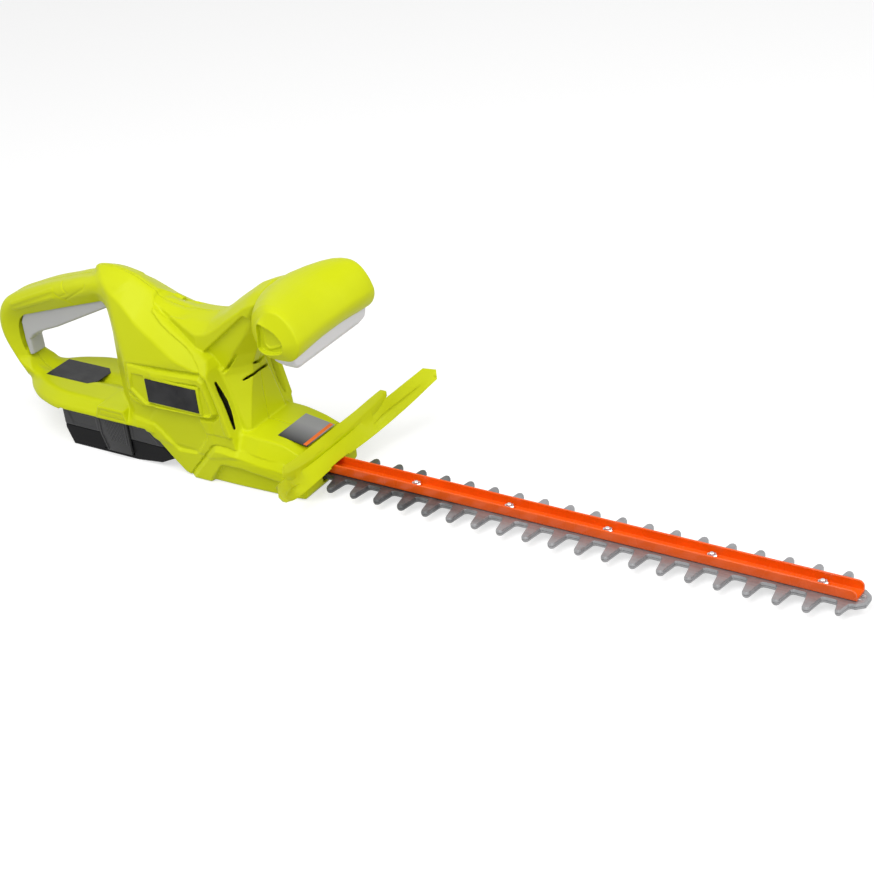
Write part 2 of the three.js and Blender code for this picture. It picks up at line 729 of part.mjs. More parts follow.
function trigger(grow) {
  const lever = slab(triggerOutline, triggerHalf, grow > 0 ? { inset: -grow } : { bevel: 1.5 });
  return join(lever, crossRod(pivotLug + grow, ...pivot, -triggerHalf - grow, triggerHalf + grow, 20));
}

const aboutPivot = (solid, degrees) => solid
  .translate([-pivot[0], 0, -pivot[1]])
  .rotate([0, degrees, 0])
  .translate([pivot[0], 0, pivot[1]]);
const triggerRoom = join(trigger(slip), aboutPivot(trigger(slip), triggerTravel));
const pinHalf = gripHalf - wall - 1;
add('rear_trigger', cut(trigger(0), crossRod(pivotPin + gap, ...pivot, -20, 20)), 'triggerGrey');
add('trigger_pin', crossRod(pivotPin, ...pivot, -pinHalf, pinHalf), 'steel');

const rearSwitchX = [-276, -252];
const rearSwitchZ = [112, 120.5];
const rearSwitchHalf = 6;
const plungerHalf = 2;
const triggerSpringX = -296;
const springSeatZ = 110;
const triggerSlope = (triggerTopFront[1] - triggerTopRear[1]) / (triggerTopFront[0] - triggerTopRear[0]);
const triggerTopAt = (x) => triggerTopRear[1] + triggerSlope * (x - triggerTopRear[0]);
const triggerRiseAt = (x) => Math.sin(THREE.MathUtils.degToRad(triggerTravel)) * (pivot[0] - x);
const triggerSpringZ = triggerTopAt(triggerSpringX) + gap + triggerSlope * (springRadius + springWire);
const plungerX = (rearSwitchX[0] + rearSwitchX[1]) / 2;
const plungerFront = plungerX + plungerHalf;
const plungerBottom = triggerTopAt(plungerFront) + triggerRiseAt(plungerFront) + gap;
add('rear_switch', join(
  block(...rearSwitchX, -rearSwitchHalf, rearSwitchHalf, ...rearSwitchZ),
  block(plungerX - plungerHalf, plungerFront, -plungerHalf, plungerHalf, plungerBottom, rearSwitchZ[0] + 1),
), 'switchBlack');
add('trigger_spring', toSolid(coil(springRadius, springSeatZ - triggerSpringZ - gap))
  .translate([triggerSpringX, 0, triggerSpringZ]), 'zinc');

// ---------- Electrics in the body ----------

const boardX = [-198, -134];
const boardHalf = 16;
const boardZ = 90;
const boardThick = 1.6;
const socketTop = 76;
const boardParts = [
  { name: 'capacitor', from: 8, length: 20, half: 9, height: 9 },
  { name: 'driver', from: 38, length: 14, half: 6, height: 6 },
];
add('controller_board', join(
  block(...boardX, -boardHalf, boardHalf, boardZ, boardZ + boardThick),
  ...boardParts.map(({ from, length, half, height }) => (
    block(boardX[0] + from, boardX[0] + from + length, -half, half, boardZ + boardThick / 2, boardZ + height)
  )),
), 'board');
const blockBottom = stemTop + contactThick + 2 * gap;
add('terminal_block', block(stemRear, stemFront, -stemHalf, stemHalf, blockBottom, socketTop), 'switchBlack');

// ---------- Name plates and deck labels, left bare ----------

const badgeX = [-156, -104];
const badgeZ = [55, 76];
const badgeThick = 1;
const padProud = 1;
const padEdge = 6;
for (const [name, side] of [['badge_right', -1], ['badge_left', 1]]) {
  const face = bodyHalf + padProud + gap;
  const y = [side * face, side * (face + badgeThick)].sort((a, b) => a - b);
  add(name, block(...badgeX, ...y, ...badgeZ), 'label');
}
const labelThick = 0.6;
const rearLabelX = [-298, -245];
const rearLabelHalf = 14.6;
const rearLabelZ = deckZ - gap;
const rearLabel = (grow) => block(rearLabelX[0] - grow, rearLabelX[1] + grow, -rearLabelHalf - grow,
  rearLabelHalf + grow, rearLabelZ - grow, rearLabelZ + labelThick + 4 * grow);
add('rear_label', rearLabel(0), 'label');
const frontLabelHalf = 18.7;
const frontLabelBack = [-48.8, 34.5];
const frontLabelFront = [-21.1, 30.2];
const frontLabelOutline = [
  frontLabelBack, frontLabelFront,
  [frontLabelFront[0], frontLabelFront[1] + labelThick], [frontLabelBack[0], frontLabelBack[1] + labelThick],
];
const frontLabel = (grow) => slab(frontLabelOutline, frontLabelHalf, { inset: -grow });
add('front_label', frontLabel(0), 'label');

// ---------- Housing halves ----------

const screwSpots = [[-316, 34], [-226, 136], [-150, 118], [-82, 118], [-46, 26.5], [-143, 24]];
const bossRadius = 4.5;
const screwRadius = 1.7;
const screwHeadRadius = 3.3;
const screwHeadThick = 2.4;
const screwSeat = 9;
const screwDepth = -12;
const screwNeck = 0.5; // how far the shank reaches into the head

const motorRibZ = [32, 60];
const motorRibReach = motorRadius + 8;
const caseRibX = [caseBack + 9, caseFront - 12];

function cradleRound(x, half, z, open) {
  const grow = gap + ribThick;
  const outer = block(x[0] - grow, x[1] + grow, -half - grow, half + grow, z[0] - 1 + open, z[1] + grow);
  return cut(outer, block(x[0] - gap, x[1] + gap, -half - gap, half + gap, z[0] - 10, z[1] + gap));
}

// The opening for the cutting bar, along the body's nose or through the guard.
const noseMouth = -5;
const guardMouthX = [-40, 10];
const barMouth = (from, to) => block(from, to, -mouthHalf, mouthHalf,
  lowerBladeZ - boltHeadThick - slip, supportTop + gap);

function housing() {
  const outer = body(0);
  const hollow = body(wall);
  const pads = [-1, 1].map((side) => {
    const y = [side * (bodyHalf - wall), side * (bodyHalf + padProud)].sort((a, b) => a - b);
    return block(badgeX[0] - padEdge, badgeX[1] + padEdge, ...y, badgeZ[0] - padEdge, badgeZ[1] + padEdge);
  });
  const motorRibs = motorRibZ.map((z) => cut(
    block(motorX - motorRibReach, motorX + motorRibReach, -reach, reach, z, z + ribThick),
    rod(motorRadius + gap, motorX, 0, z - 1, z + ribThick + 1, 32),
  ));
  const caseRibs = caseRibX.map((x) => block(x, x + ribThick, -reach, reach, floorZ, caseTop));
  const socketGrow = slip + ribThick;
  const socket = block(stemRear - socketGrow, stemFront + socketGrow, -stemHalf - socketGrow,
    stemHalf + socketGrow, rimZ, socketTop);
  const rails = [-1, 1].map((side) => {
    const y = [side * (boardHalf - 2), side * reach].sort((a, b) => a - b);
    return block(...boardX, ...y, boardZ - 4, boardZ + boardThick + 4);
  });
  const boardRoom = block(boardX[0] - gap, boardX[1] + gap, -boardHalf - gap, boardHalf + gap, boardZ - gap,
    boardZ + boardThick + gap);
  const bosses = screwSpots.map(([x, z]) => crossRod(bossRadius, x, z, -reach, reach, 16));
  const pinBoss = crossRod(pivotPin + gap + ribThick, ...pivot, -reach, reach);
  const springSeat = block(triggerSpringX - springRadius - 2, triggerSpringX + springRadius + 2, -reach, reach,
    springSeatZ, springSeatZ + 2 * ribThick);
  const inside = join(...motorRibs, ...caseRibs, socket, ...rails, ...bosses, pinBoss, springSeat,
    cradleRound(rearSwitchX, rearSwitchHalf, rearSwitchZ, 1));
  const shell = join(cut(outer, hollow), inside.intersect(outer), ...pads);
  const screwHoles = screwSpots.map(([x, z]) => join(
    crossRod(screwRadius + gap, x, z, screwDepth - gap, screwSeat + 1, 12),
    crossRod(screwHeadRadius + gap, x, z, screwSeat, reach, 16),
  ));
  const caseRoom = block(caseBack - gap, caseFront + gap, -caseHalf - gap, caseHalf + gap, floorZ - 1,
    caseTop + gap);
  const mouth = barMouth(caseFront - 1, noseMouth);
  const pinRoom = join(
    crossRod(pivotPin + gap, ...pivot, -pinHalf - gap, pinHalf + gap),
    crossRod(pivotLug + slip, ...pivot, -triggerHalf - slip, triggerHalf + slip),
  );
  const switchRoom = block(rearSwitchX[0] - gap, rearSwitchX[1] + gap, -rearSwitchHalf - gap,
    rearSwitchHalf + gap, rearSwitchZ[0] - gap, rearSwitchZ[1] + gap);
  const stemRoom = block(stemRear - slip, stemFront + slip, -stemHalf - slip, stemHalf + slip, rimZ - 5,
    socketTop + 1);
  const switchShelf = block(frontSwitchX[0] - gap, frontSwitchX[1] + gap, -frontSwitchHalf - gap,
    frontSwitchHalf + gap, frontSwitchZ[0] - gap, frontSwitchZ[1] + gap);
  return cut(shell, ...screwHoles, caseRoom, mouth, pinRoom, triggerRoom, switchRoom, stemRoom, boardRoom,
    rearLabel(gap), frontLabel(gap), packRoom(), paddleRoom, switchShelf);
}

// The space that the pack slides down through.
function packRoom() {
  return slab(packOutline, batteryHalf + 10, { inset: -rimGap });
}

const shells = housing();
add('housing_right', shells.intersect(block(-reach, reach, -reach, -gap / 2, -reach, reach)), 'lime');
add('housing_left', shells.intersect(block(-reach, reach, gap / 2, reach, -reach, reach)), 'lime');
screwSpots.forEach(([x, z], i) => {
  const shank = crossRod(screwRadius, x, z, screwDepth, screwSeat + gap + screwNeck, 10);
  const head = crossRod(screwHeadRadius, x, z, screwSeat + gap, screwSeat + gap + screwHeadThick, 14);
  add(`housing_screw_${i + 1}`, join(shank, head), 'zinc');
});

// ---------- Hand guard ----------

// Wing: half span, then the top's back edge, the top's front edge and the lower edge, each x and z.
const guardHalf = 108;
const wingSections = [
  [guardHalf, [20, 46], [21, 44], [22, 42]],
  [guardHalf - 5, [17, 49], [19.5, 42], [23, 38]],
  [guardHalf - 13, [11, 46], [16, 38], [19, 34]],
  [80, [2, 39], [7, 32], [10, 24]],
  [60, [-9, 29], [-5, 22], [0, 14]],
  [40, [-12, 23], [-8, 16], [-4, 10.5]],
  [20, [-12.5, 21.5], [-7, 14], [-5, 10.5]],
];
const wingThick = 5;
// Shelf behind the wings: half span, top edge and front edge.
const shelfSections = [
  [74, [-5, 40], [-4, 39]],
  [65, [-8, 40.7], [-5.5, 36]],
  [60, [-10.5, 39], [-7, 33.5]],
  [40, [-16, 33.5], [-12, 27]],
  [20, [-19, 31], [-14.5, 23]],
];
const shelfDrop = 9;

function bothSides(sections, ringOf) {
  const right = sections.map((section) => ringOf(section).map(([x, z]) => [x, -section[0], z]));
  const left = sections.map((section) => ringOf(section).map(([x, z]) => [x, section[0], z])).reverse();
  return loft([...right, ...left]);
}

function handGuard() {
  const wings = bothSides(wingSections, ([, top, lip, low]) => [
    top, lip, low, [low[0] - wingThick, low[1]], [top[0] - wingThick, top[1] - 3],
  ]);
  const shelf = bothSides(shelfSections, ([, top, front]) => [
    top, front, [front[0], front[1] - shelfDrop], [top[0], front[1] - shelfDrop],
  ]);
  const mouth = barMouth(...guardMouthX);
  return cut(join(wings, shelf), tub(-gap), mouth, frontLabel(gap));
}
add('hand_guard', handGuard(), 'lime');

// ---------- Origin at the bottom centre ----------

const whole = new THREE.Box3().setFromObject(trimmer);
const middle = whole.getCenter(new THREE.Vector3());
trimmer.position.set(-middle.x, -middle.y, -whole.min.z);

export default trimmer;
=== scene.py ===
"""Cordless hedge trimmer: moulded body, handles, guard, cutting bar and battery pack, with their finishes."""
import copy
import json
import math
from functools import reduce

import bmesh
import bpy
import numpy as np
from bpy.props import FloatProperty, FloatVectorProperty, PointerProperty
from mathutils import Matrix, Vector


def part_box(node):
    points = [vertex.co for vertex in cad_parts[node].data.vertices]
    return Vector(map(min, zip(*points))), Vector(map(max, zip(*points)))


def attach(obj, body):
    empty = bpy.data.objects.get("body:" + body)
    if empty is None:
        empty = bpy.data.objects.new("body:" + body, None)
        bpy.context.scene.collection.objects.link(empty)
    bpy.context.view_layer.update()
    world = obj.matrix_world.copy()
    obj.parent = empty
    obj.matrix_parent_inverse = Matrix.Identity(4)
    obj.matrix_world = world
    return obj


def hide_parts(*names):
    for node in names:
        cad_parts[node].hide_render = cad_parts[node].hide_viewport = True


bl_info = {
    "name": "Hedge Trimmer Builder",
    "version": (1, 0, 0),
    "blender": (4, 5, 0),
    "location": "View3D > Sidebar > Trimmer",
    "description": "Builds the visible pieces of a cordless hedge trimmer round its packed parts",
    "category": "Object",
}

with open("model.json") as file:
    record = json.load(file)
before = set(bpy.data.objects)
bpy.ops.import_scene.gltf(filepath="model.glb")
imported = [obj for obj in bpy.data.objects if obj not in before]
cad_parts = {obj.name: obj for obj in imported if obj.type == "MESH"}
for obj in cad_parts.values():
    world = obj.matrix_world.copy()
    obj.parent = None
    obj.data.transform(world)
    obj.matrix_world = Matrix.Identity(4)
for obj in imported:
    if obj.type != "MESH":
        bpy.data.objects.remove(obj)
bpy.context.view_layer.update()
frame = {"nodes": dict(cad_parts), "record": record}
MM = 0.001

# The workshop frame, in millimetres: x = 0 at the first right-hand tooth, z = 0 between the blades.
BLADE_END = 431.0
ORIGIN = Vector((
    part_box("lower_blade")[1].x - BLADE_END * MM,
    0.0,
    (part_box("upper_blade")[0].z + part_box("lower_blade")[1].z) / 2,
))


def local_box(node):
    """A part's lowest and highest corners in workshop millimetres."""
    low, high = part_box(node)
    return [tuple((corner - ORIGIN) / MM) for corner in (low, high)]


# ---------- Solid fields: distance arrays, negative inside ----------

def all_of(*fields):
    """Where all of the solids are."""
    return reduce(np.maximum, fields)


def any_of(*fields):
    """Where any of the solids is."""
    return reduce(np.minimum, fields)


def less(solid, *holes):
    """The first solid with the others cut away."""
    return all_of(solid, *(-hole for hole in holes))


def round_both(a, b, radius):
    """Where both solids are, with a rounded edge of that radius."""
    corner = np.sqrt(np.maximum(a + radius, 0) ** 2 + np.maximum(b + radius, 0) ** 2)
    return np.minimum(-radius, np.maximum(a, b)) + corner


def round_either(a, b, radius):
    """Where either solid is, with a filleted inside corner of that radius."""
    return -round_both(-a, -b, radius)


def soft_both(a, b, blend):
    """Where both solids are, with the edge blended over that width."""
    return np.maximum(a, b) + np.maximum(blend - np.abs(a - b), 0) ** 2 / (4 * blend)


def smooth_step(value, low, high):
    """0 below low, 1 above high, and a soft step between."""
    t = np.clip((value - low) / (high - low), 0, 1)
    return t * t * (3 - 2 * t)


def ramp(value, width):
    """0 up to the edge, 1 from that width on, straight between: a bevel with two creases."""
    return np.clip(value / width, 0, 1)


def raised(distance, half, soft=0.35):
    """1 within half of a line and 0 off it, with a soft edge."""
    return smooth_step(half - distance, -soft, soft)


def box_distance(low, high, x, w, z, room=0.0):
    """Distance from a box that is grown by some room and lies on the mid-plane."""
    return all_of(low[0] - room - x, x - high[0] - room, w - high[1] - room, z - high[2] - room)


def through(points, count, closed=True):
    """A smooth curve through the points, as a polyline."""
    points = np.asarray(points, float)
    size = len(points)
    spans = size if closed else size - 1
    result = []
    for i in range(spans):
        index = [i - 1, i, i + 1, i + 2]
        if closed:
            p0, p1, p2, p3 = (points[k % size] for k in index)
        else:
            p0, p1, p2, p3 = (points[min(max(k, 0), size - 1)] for k in index)
        for t in np.arange(count) / count:
            result.append(0.5 * (
                2 * p1 + (p2 - p0) * t + (2 * p0 - 5 * p1 + 4 * p2 - p3) * t ** 2
                + (3 * p1 - p0 - 3 * p2 + p3) * t ** 3
            ))
    if not closed:
        result.append(points[-1])
    return np.array(result)


def outline_distance(points, u, v):
    """Signed distance from a closed outline, negative inside."""
    points = np.asarray(points, float)
    nearest = np.full(np.broadcast(u, v).shape, 1e9)
    crossings = np.zeros(nearest.shape, bool)
    for (u0, v0), (u1, v1) in zip(points, np.roll(points, -1, 0)):
        du, dv = u1 - u0, v1 - v0
        length = du * du + dv * dv
        if length < 1e-12:
            continue
        t = np.clip(((u - u0) * du + (v - v0) * dv) / length, 0, 1)
        nearest = np.minimum(nearest, (u - u0 - t * du) ** 2 + (v - v0 - t * dv) ** 2)
        if dv:
            crossings ^= ((v0 > v) != (v1 > v)) & (u < u0 + du * (v - v0) / dv)
    distance = np.sqrt(nearest)
    return np.where(crossings, -distance, distance)


def curved_outline(points, count, straight, u, v):
    """Signed distance from a smooth outline whose last few points are joined by straight lines."""
    smooth = through(points[:-straight], count, closed=False).tolist()
    return outline_distance(smooth + points[-straight:], u, v)


def path_distance(points, u, v):
    """Distance from an open path."""
    nearest = np.full(np.broadcast(u, v).shape, 1e9)
    for (u0, v0), (u1, v1) in zip(points[:-1], points[1:]):
        du, dv = u1 - u0, v1 - v0
        t = np.clip(((u - u0) * du + (v - v0) * dv) / (du * du + dv * dv), 0, 1)
        nearest = np.minimum(nearest, (u - u0 - t * du) ** 2 + (v - v0 - t * dv) ** 2)
    return np.sqrt(nearest)


def spot_distance(spot, u, v):
    """Distance from a point."""
    return np.sqrt((u - spot[0]) ** 2 + (v - spot[1]) ** 2)


def profile(points, where):
    """A smooth height along x through the points."""
    line = through(points, 12, closed=False)
    return np.interp(where, line[:, 0], line[:, 1])


class Block:
    """A box of sample points in workshop millimetres."""

    def __init__(self, low, high, step):
        self.low = np.asarray(low, float)
        self.step = step
        counts = np.ceil((np.asarray(high, float) - self.low) / step).astype(int) + 1
        self.x, self.y, self.z = (
            (self.low[i] + step * np.arange(counts[i])).reshape([-1 if k == i else 1 for k in range(3)])
            for i in range(3)
        )


def net(field, block):
    """A closed quad mesh over the field's zero surface: one point for each cell that it crosses."""
    inside = field < 0
    cell_count = np.array(field.shape) - 1
    corner = [np.s_[:-1], np.s_[1:]]
    total = np.zeros(cell_count, np.int8)
    for i in range(2):
        for j in range(2):
            for k in range(2):
                total += inside[corner[i], corner[j], corner[k]]
    cells = np.argwhere((total > 0) & (total < 8))
    order = np.full(cell_count, -1, np.int64)
    order[tuple(cells.T)] = np.arange(len(cells))
    place = np.zeros((len(cells), 3))
    hits = np.zeros(len(cells))
    for axis in range(3):
        others = [a for a in range(3) if a != axis]
        for s in range(2):
            for t in range(2):
                start = cells.copy()
                start[:, others[0]] += s
                start[:, others[1]] += t
                end = start.copy()
                end[:, axis] += 1
                f0 = field[tuple(start.T)]
                f1 = field[tuple(end.T)]
                cut = (f0 < 0) != (f1 < 0)
                share = np.where(cut, f0 / np.where(cut, f0 - f1, 1), 0)
                point = start.astype(float)
                point[:, axis] += share
                place[cut] += point[cut]
                hits[cut] += 1
    points = block.low + (place / hits[:, None]) * block.step
    quads = []
    for axis in range(3):
        a1, a2 = (axis + 1) % 3, (axis + 2) % 3
        near = [np.s_[:]] * 3
        far = [np.s_[:]] * 3
        near[axis], far[axis] = np.s_[:-1], np.s_[1:]
        before, after = inside[tuple(near)], inside[tuple(far)]
        for flip, crossing in ((False, before & ~after), (True, ~before & after)):
            edges = np.argwhere(crossing)
            edges = edges[(edges[:, a1] > 0) & (edges[:, a2] > 0)]
            edges = edges[(edges[:, a1] < cell_count[a1]) & (edges[:, a2] < cell_count[a2])]
            ring = []
            for s, t in ((1, 1), (0, 1), (0, 0), (1, 0)):
                cell = edges.copy()
                cell[:, a1] -= s
                cell[:, a2] -= t
                ring.append(order[tuple(cell.T)])
            ring = np.stack(ring[::-1] if flip else ring, 1)
            quads.append(ring)
    return points, np.concatenate(quads)


def settle(points, quads, rounds, share=0.5):
    """Evens out the points a little, in pairs of steps that keep the size."""
    edges = np.concatenate([quads[:, [i, (i + 1) % 4]] for i in range(4)])
    count = np.bincount(edges.ravel(), minlength=len(points)).astype(float)
    for weight in (share, -share * 1.04) * rounds:
        total = np.stack([
            np.bincount(edges[:, 0], points[edges[:, 1], c], len(points))
            + np.bincount(edges[:, 1], points[edges[:, 0], c], len(points))
            for c in range(3)
        ], 1)
        points = points + weight * (total / count[:, None] - points)
    return points


# ---------- The moulded body: one half, seen from its own side, w = distance from the mid-plane ----------

BODY_HALF = 40.0
GRIP_HALF = 16.0
FLOOR_Z = -8.97
RIM_Z = 26.0
DECK_Z = 38.0
WALL = 2.5
PANEL_SINK, FRAME_RISE, FLOOR_SINK, FIN_RISE = 3.0, 5.0, 2.2, 1.8
LEDGE_HALF, LEDGE_RISE = 37.4, 4.2
BELT_RISE, TAB_RISE = 1.2, 2.0
HUMP_TOP = [(-246, 132), (-240, 137), (-233, 142.3), (-224, 146), (-213, 147), (-203, 146.3), (-189, 143.2),
            (-182, 140.2), (-175, 136.8), (-168, 133.4), (-150, 127.5), (-120, 119.5), (-60, 104)]
SADDLE_TOP = [(-176, 131), (-165, 129), (-157, 126.8), (-147, 124.6), (-133, 123.2), (-118, 123.4),
              (-105, 125), (-99, 127.2), (-88, 134), (-77, 142.3), (-66, 150), (-55, 157.5), (-44, 162)]
GRIP_OUTLINE = [(-190, 138), (-215, 141), (-233, 137), (-245, 134), (-256, 130.5), (-281, 123), (-306, 113.5),
                (-325, 105.5), (-335, 98), (-341.3, 87), (-342.8, 74), (-339.8, 61), (-331, 44), (-322, 31),
                (-300, 28), (-190, 28)]
WINDOW_OUTLINE = [(-204, 80), (-204, 100), (-209, 111), (-218, 116.5), (-232, 113), (-270, 101.5),
                  (-302, 91.5), (-315, 87), (-321.5, 79.5), (-323.5, 68), (-322, 57), (-318, 47),
                  (-311, 38.5), (-302, 34), (-204, 34)]
BODY_OUTLINE = [(-213, 30), (-212, 66), (-208.5, 86), (-206, 97), (-207.5, 105), (-214, 114), (-224, 122),
                (-240, 128), (-252, 131), (-252, 150), (-175, 150), (-164, 129.5), (-157, 124), (-151, 119.8),
                (-140, 114.6), (-129, 110.4), (-118, 105.4), (-106, 100.6), (-98, 96.6), (-93.5, 90.5),
                (-90, 82), (-87, 73.5), (-83.5, 62), (-80.8, 50), (-79, 42), (-77, 34), (-76, 20), (-100, 15),
                (-180, 20)]
BELLY_OUTLINE = [(-150, 50), (-169, 29), (-166, 24.6), (-144, 2), (-134, -7), (-128, FLOOR_Z), (-26, FLOOR_Z),
                 (-17.5, -8), (-15.5, -5), (-15.2, 24), (-40, 34), (-72, 37), (-80, 60), (-110, 80),
                 (-150, 80)]
DECK_TOP = [(-100, 36.8), (-75, 36.4), (-60, 35.9), (-48.8, 34.95), (-21.1, 30.65), (-15, 29.5)]
HEEL_PLAN = [(-324, 0), (-323, 6), (-320, 11.5), (-313, 18.3), (-304, 25), (-294, 31), (-281, 36),
             (-268, 39.6), (-255, 41), (-160, 41), (-160, 0)]
TRIGGER_OUTLINE = [(-216, 111.5), (-222, 118.5), (-304, 94.5), (-317, 89.5), (-321.5, 80), (-321.5, 63),
                   (-319.5, 49.5), (-317, 48), (-314.8, 51), (-315, 64), (-310, 69), (-301, 74), (-280, 82)]
TRIGGER_PIVOT = (-221, 122)
TRIGGER_TRAVEL = math.radians(3)
TRIGGER_HALF, LUG_RADIUS, PIN_RADIUS = 8, 4.5, 2
MOUTH_HALF, MOUTH_TOP = 12.0, 11.6
PARTING = 0.06
BOSS_RADIUS, BOSS_START, BORE_RADIUS, BORE_START = 5.6, 6, 3.6, 9
SCREW_SPOTS = [(-316, 34), (-226, 136), (-150, 118), (-82, 118), (-46, 26.5), (-143, 24)]
PACK_OUTLINE = [(-263, 25.4), (-263, 6), (-258, FLOOR_Z), (-187, FLOOR_Z), (-161, -6), (-145, 1.5),
                (-169, 25.4)]
FRAME_OUTLINE = [(-178, 82.8), (-101, 87.2), (-95.5, 83.5), (-88, 55), (-94.5, 49.5), (-165, 47.2),
                 (-181, 62.5)]
FRAME_FLOOR = [(-172.5, 76.8), (-104, 79.8), (-99.5, 77.6), (-92.6, 55.2), (-97, 52.4), (-161.5, 51.2),
               (-174.5, 63)]
BADGE_RIM = [(-157.8, 77.6), (-102.2, 77.6), (-101.8, 53.6), (-157.8, 53.6)]
PANEL_OUTLINE = [(-192, 60), (-191, 35), (-179.5, 32.6), (-159.5, 30.6), (-152.7, 25.4), (-138.5, 12.4),
                 (-135, 11.4), (-117.7, 12.6), (-114, 15.5), (-101.9, 31.1), (-103, 36), (-106.5, 44),
                 (-109, 60)]
LEDGE_OUTLINE = [(-128.5, -7), (-125.3, -2.8), (-100.5, 24.8), (-97, 26.8), (-88.5, 27), (-52.7, 22),
                 (-34.9, 20.3), (0, 17), (0, -30), (-142, -30)]
RECESS_OUTLINE = [(-106.5, -8), (-104.2, -4.2), (-93.5, 9.4), (-91, 10.6), (-73.8, 11.1), (-39.8, 6.6),
                  (0, 2), (0, -30), (-106, -30)]
ARM_PANEL = [(-107.5, 98.6), (-62, 137.6), (-58.5, 139.6), (-54.5, 138.2), (-53.2, 128.5), (-75.5, 100.2),
             (-87, 84.4)]
# Slots through the wall, as paths of x, distance from the mid-plane, z and radius.
VENTS = [
    [(-90, 33.8, 80.6, 0.9), (-87.4, 32.6, 71, 1.7), (-85.2, 31.6, 63.6, 1.9), (-82.9, 32, 56, 1.8),
     (-81.6, 32.4, 50.1, 1.5), (-79.6, 33, 41.4, 0.9)],
    [(-77.2, 15.6, 76.6, 0.7), (-75.4, 13.4, 77.6, 0.9), (-72.4, 8, 79.0, 1.0), (-72.2, 0, 79.8, 1.0)],
    [(-72.2, 6, 87.9, 0.8), (-72, 0, 86.7, 1.0)],
]
BELT_LINE = [(-158, 123.5), (-146, 117), (-132, 111), (-118, 105.5), (-107, 99.5), (-98, 93), (-92.5, 84.5),
             (-88.7, 74), (-85, 62), (-82.3, 50), (-80.5, 40)]
GRIP_STRIPS = [[(-319, 101.2), (-268.5, 122)], [(-317.5, 95.4), (-268.5, 115.2)]]
GRIP_CREASES = [[(-258, 128.5), (-251, 121.5), (-259, 118)],
                [(-230, 132.5), (-231, 129.5), (-256, 114.5), (-266, 119.5)],
                [(-256, 114.5), (-251, 111)]]
FINS = [[(-184.5, 63.4), (-176.5, 56)], [(-182.5, 53), (-168.6, 47.6)]]
SADDLE_CRESCENT = [(-158, 14.5), (-162.5, 10), (-164.8, 5), (-165.3, 0), (-165.3, -5), (-100, -5),
                   (-100, 14.5)]
TAB_OUTLINE = [(-221, 26.4), (-216.3, 38.2), (-188.6, 38.2), (-185.4, 26.4)]


def side_limit(x, z):
    """How far out the body's side stands, with the mouldings on it."""
    panel = ramp(-outline_distance(PANEL_OUTLINE, x, z), 2.6)
    pocket = -outline_distance(FRAME_OUTLINE, x, z)
    limit = BODY_HALF - PANEL_SINK * np.maximum(panel, ramp(pocket + 2.6, 2.6))
    floor = ramp(-outline_distance(FRAME_FLOOR, x, z), 0.9)
    badge = ramp(outline_distance(BADGE_RIM, x, z), 0.7)
    limit = limit + FRAME_RISE * ramp(pocket, 2.8) - FLOOR_SINK * floor * badge
    for fin in FINS:
        limit = limit + FIN_RISE * ramp(2.2 - path_distance(fin, x, z), 1.2)
    ledge = outline_distance(LEDGE_OUTLINE, x, z)
    recess = outline_distance(RECESS_OUTLINE, x, z)
    taper = 2.2 * smooth_step(x, -95, -15)
    step = LEDGE_HALF - taper + LEDGE_RISE * (ramp(-ledge, 5.2) - ramp(-recess, 1.0))
    skirt = BODY_HALF - 0.7 * (1 - panel)
    limit = np.where((z < 36) & (x > -175) & (pocket < -3), np.minimum(limit, skirt), limit)
    return np.where(ledge < 0, step, limit)


def hump_field(x, w, z):
    """The rounded ridge over the motor: a hyperbola across, with straight flanks."""
    ridge_radius, flank = 7.0, np.interp(x, [-190, -150], [1.22, 1.42])
    depth = np.maximum(profile(HUMP_TOP, x) - z, -0.9 * ridge_radius / flank ** 2)
    value = w * w - 2 * ridge_radius * depth - (flank * depth) ** 2
    steepness = np.sqrt(w * w + (ridge_radius + flank ** 2 * np.maximum(depth, 0)) ** 2)
    return value / (2 * steepness)


def tower_field(x, w, z, limit):
    """The body over the motor: side, rear corner, lower flank and hump flank."""
    outline = outline_distance(BODY_OUTLINE, x, z)
    belt = path_distance(through(BELT_LINE, 4, closed=False), x, z)
    belt_half = np.interp(x, [-158, -110, -90], [1.8, 2.4, 3.6])
    belt_rise = BELT_RISE * smooth_step(belt_half - belt, -0.5, 0.2)
    hump = hump_field(x, w, z)
    lower_flank = (w - (82.3 + 0.1068 * x - 0.305 * z)) / 1.05
    rear_corner = (w - (15.5 + 0.8 * (x + 209))) / 1.28
    shape = soft_both(w - limit, lower_flank, 1.2)
    shape = soft_both(shape, hump, 1.2) - belt_rise
    shape = soft_both(shape, rear_corner, 3)
    return round_both(shape, outline, 1.6)


def grip_field(x, w, z):
    """The rear grip round its window."""
    outline = curved_outline(GRIP_OUTLINE, 6, 3, x, z)
    bar = round_both(outline, w - GRIP_HALF, 8.5)
    window = curved_outline(WINDOW_OUTLINE, 5, 1, x, z)
    flank = (w - 9 - 0.62 * np.maximum(window, 0)) / 1.18
    lower = smooth_step(z, 34, 50)
    bar = soft_both(bar, flank + 8 * (lower - 1), 1.6)
    return round_both(bar, -window, 1.5)


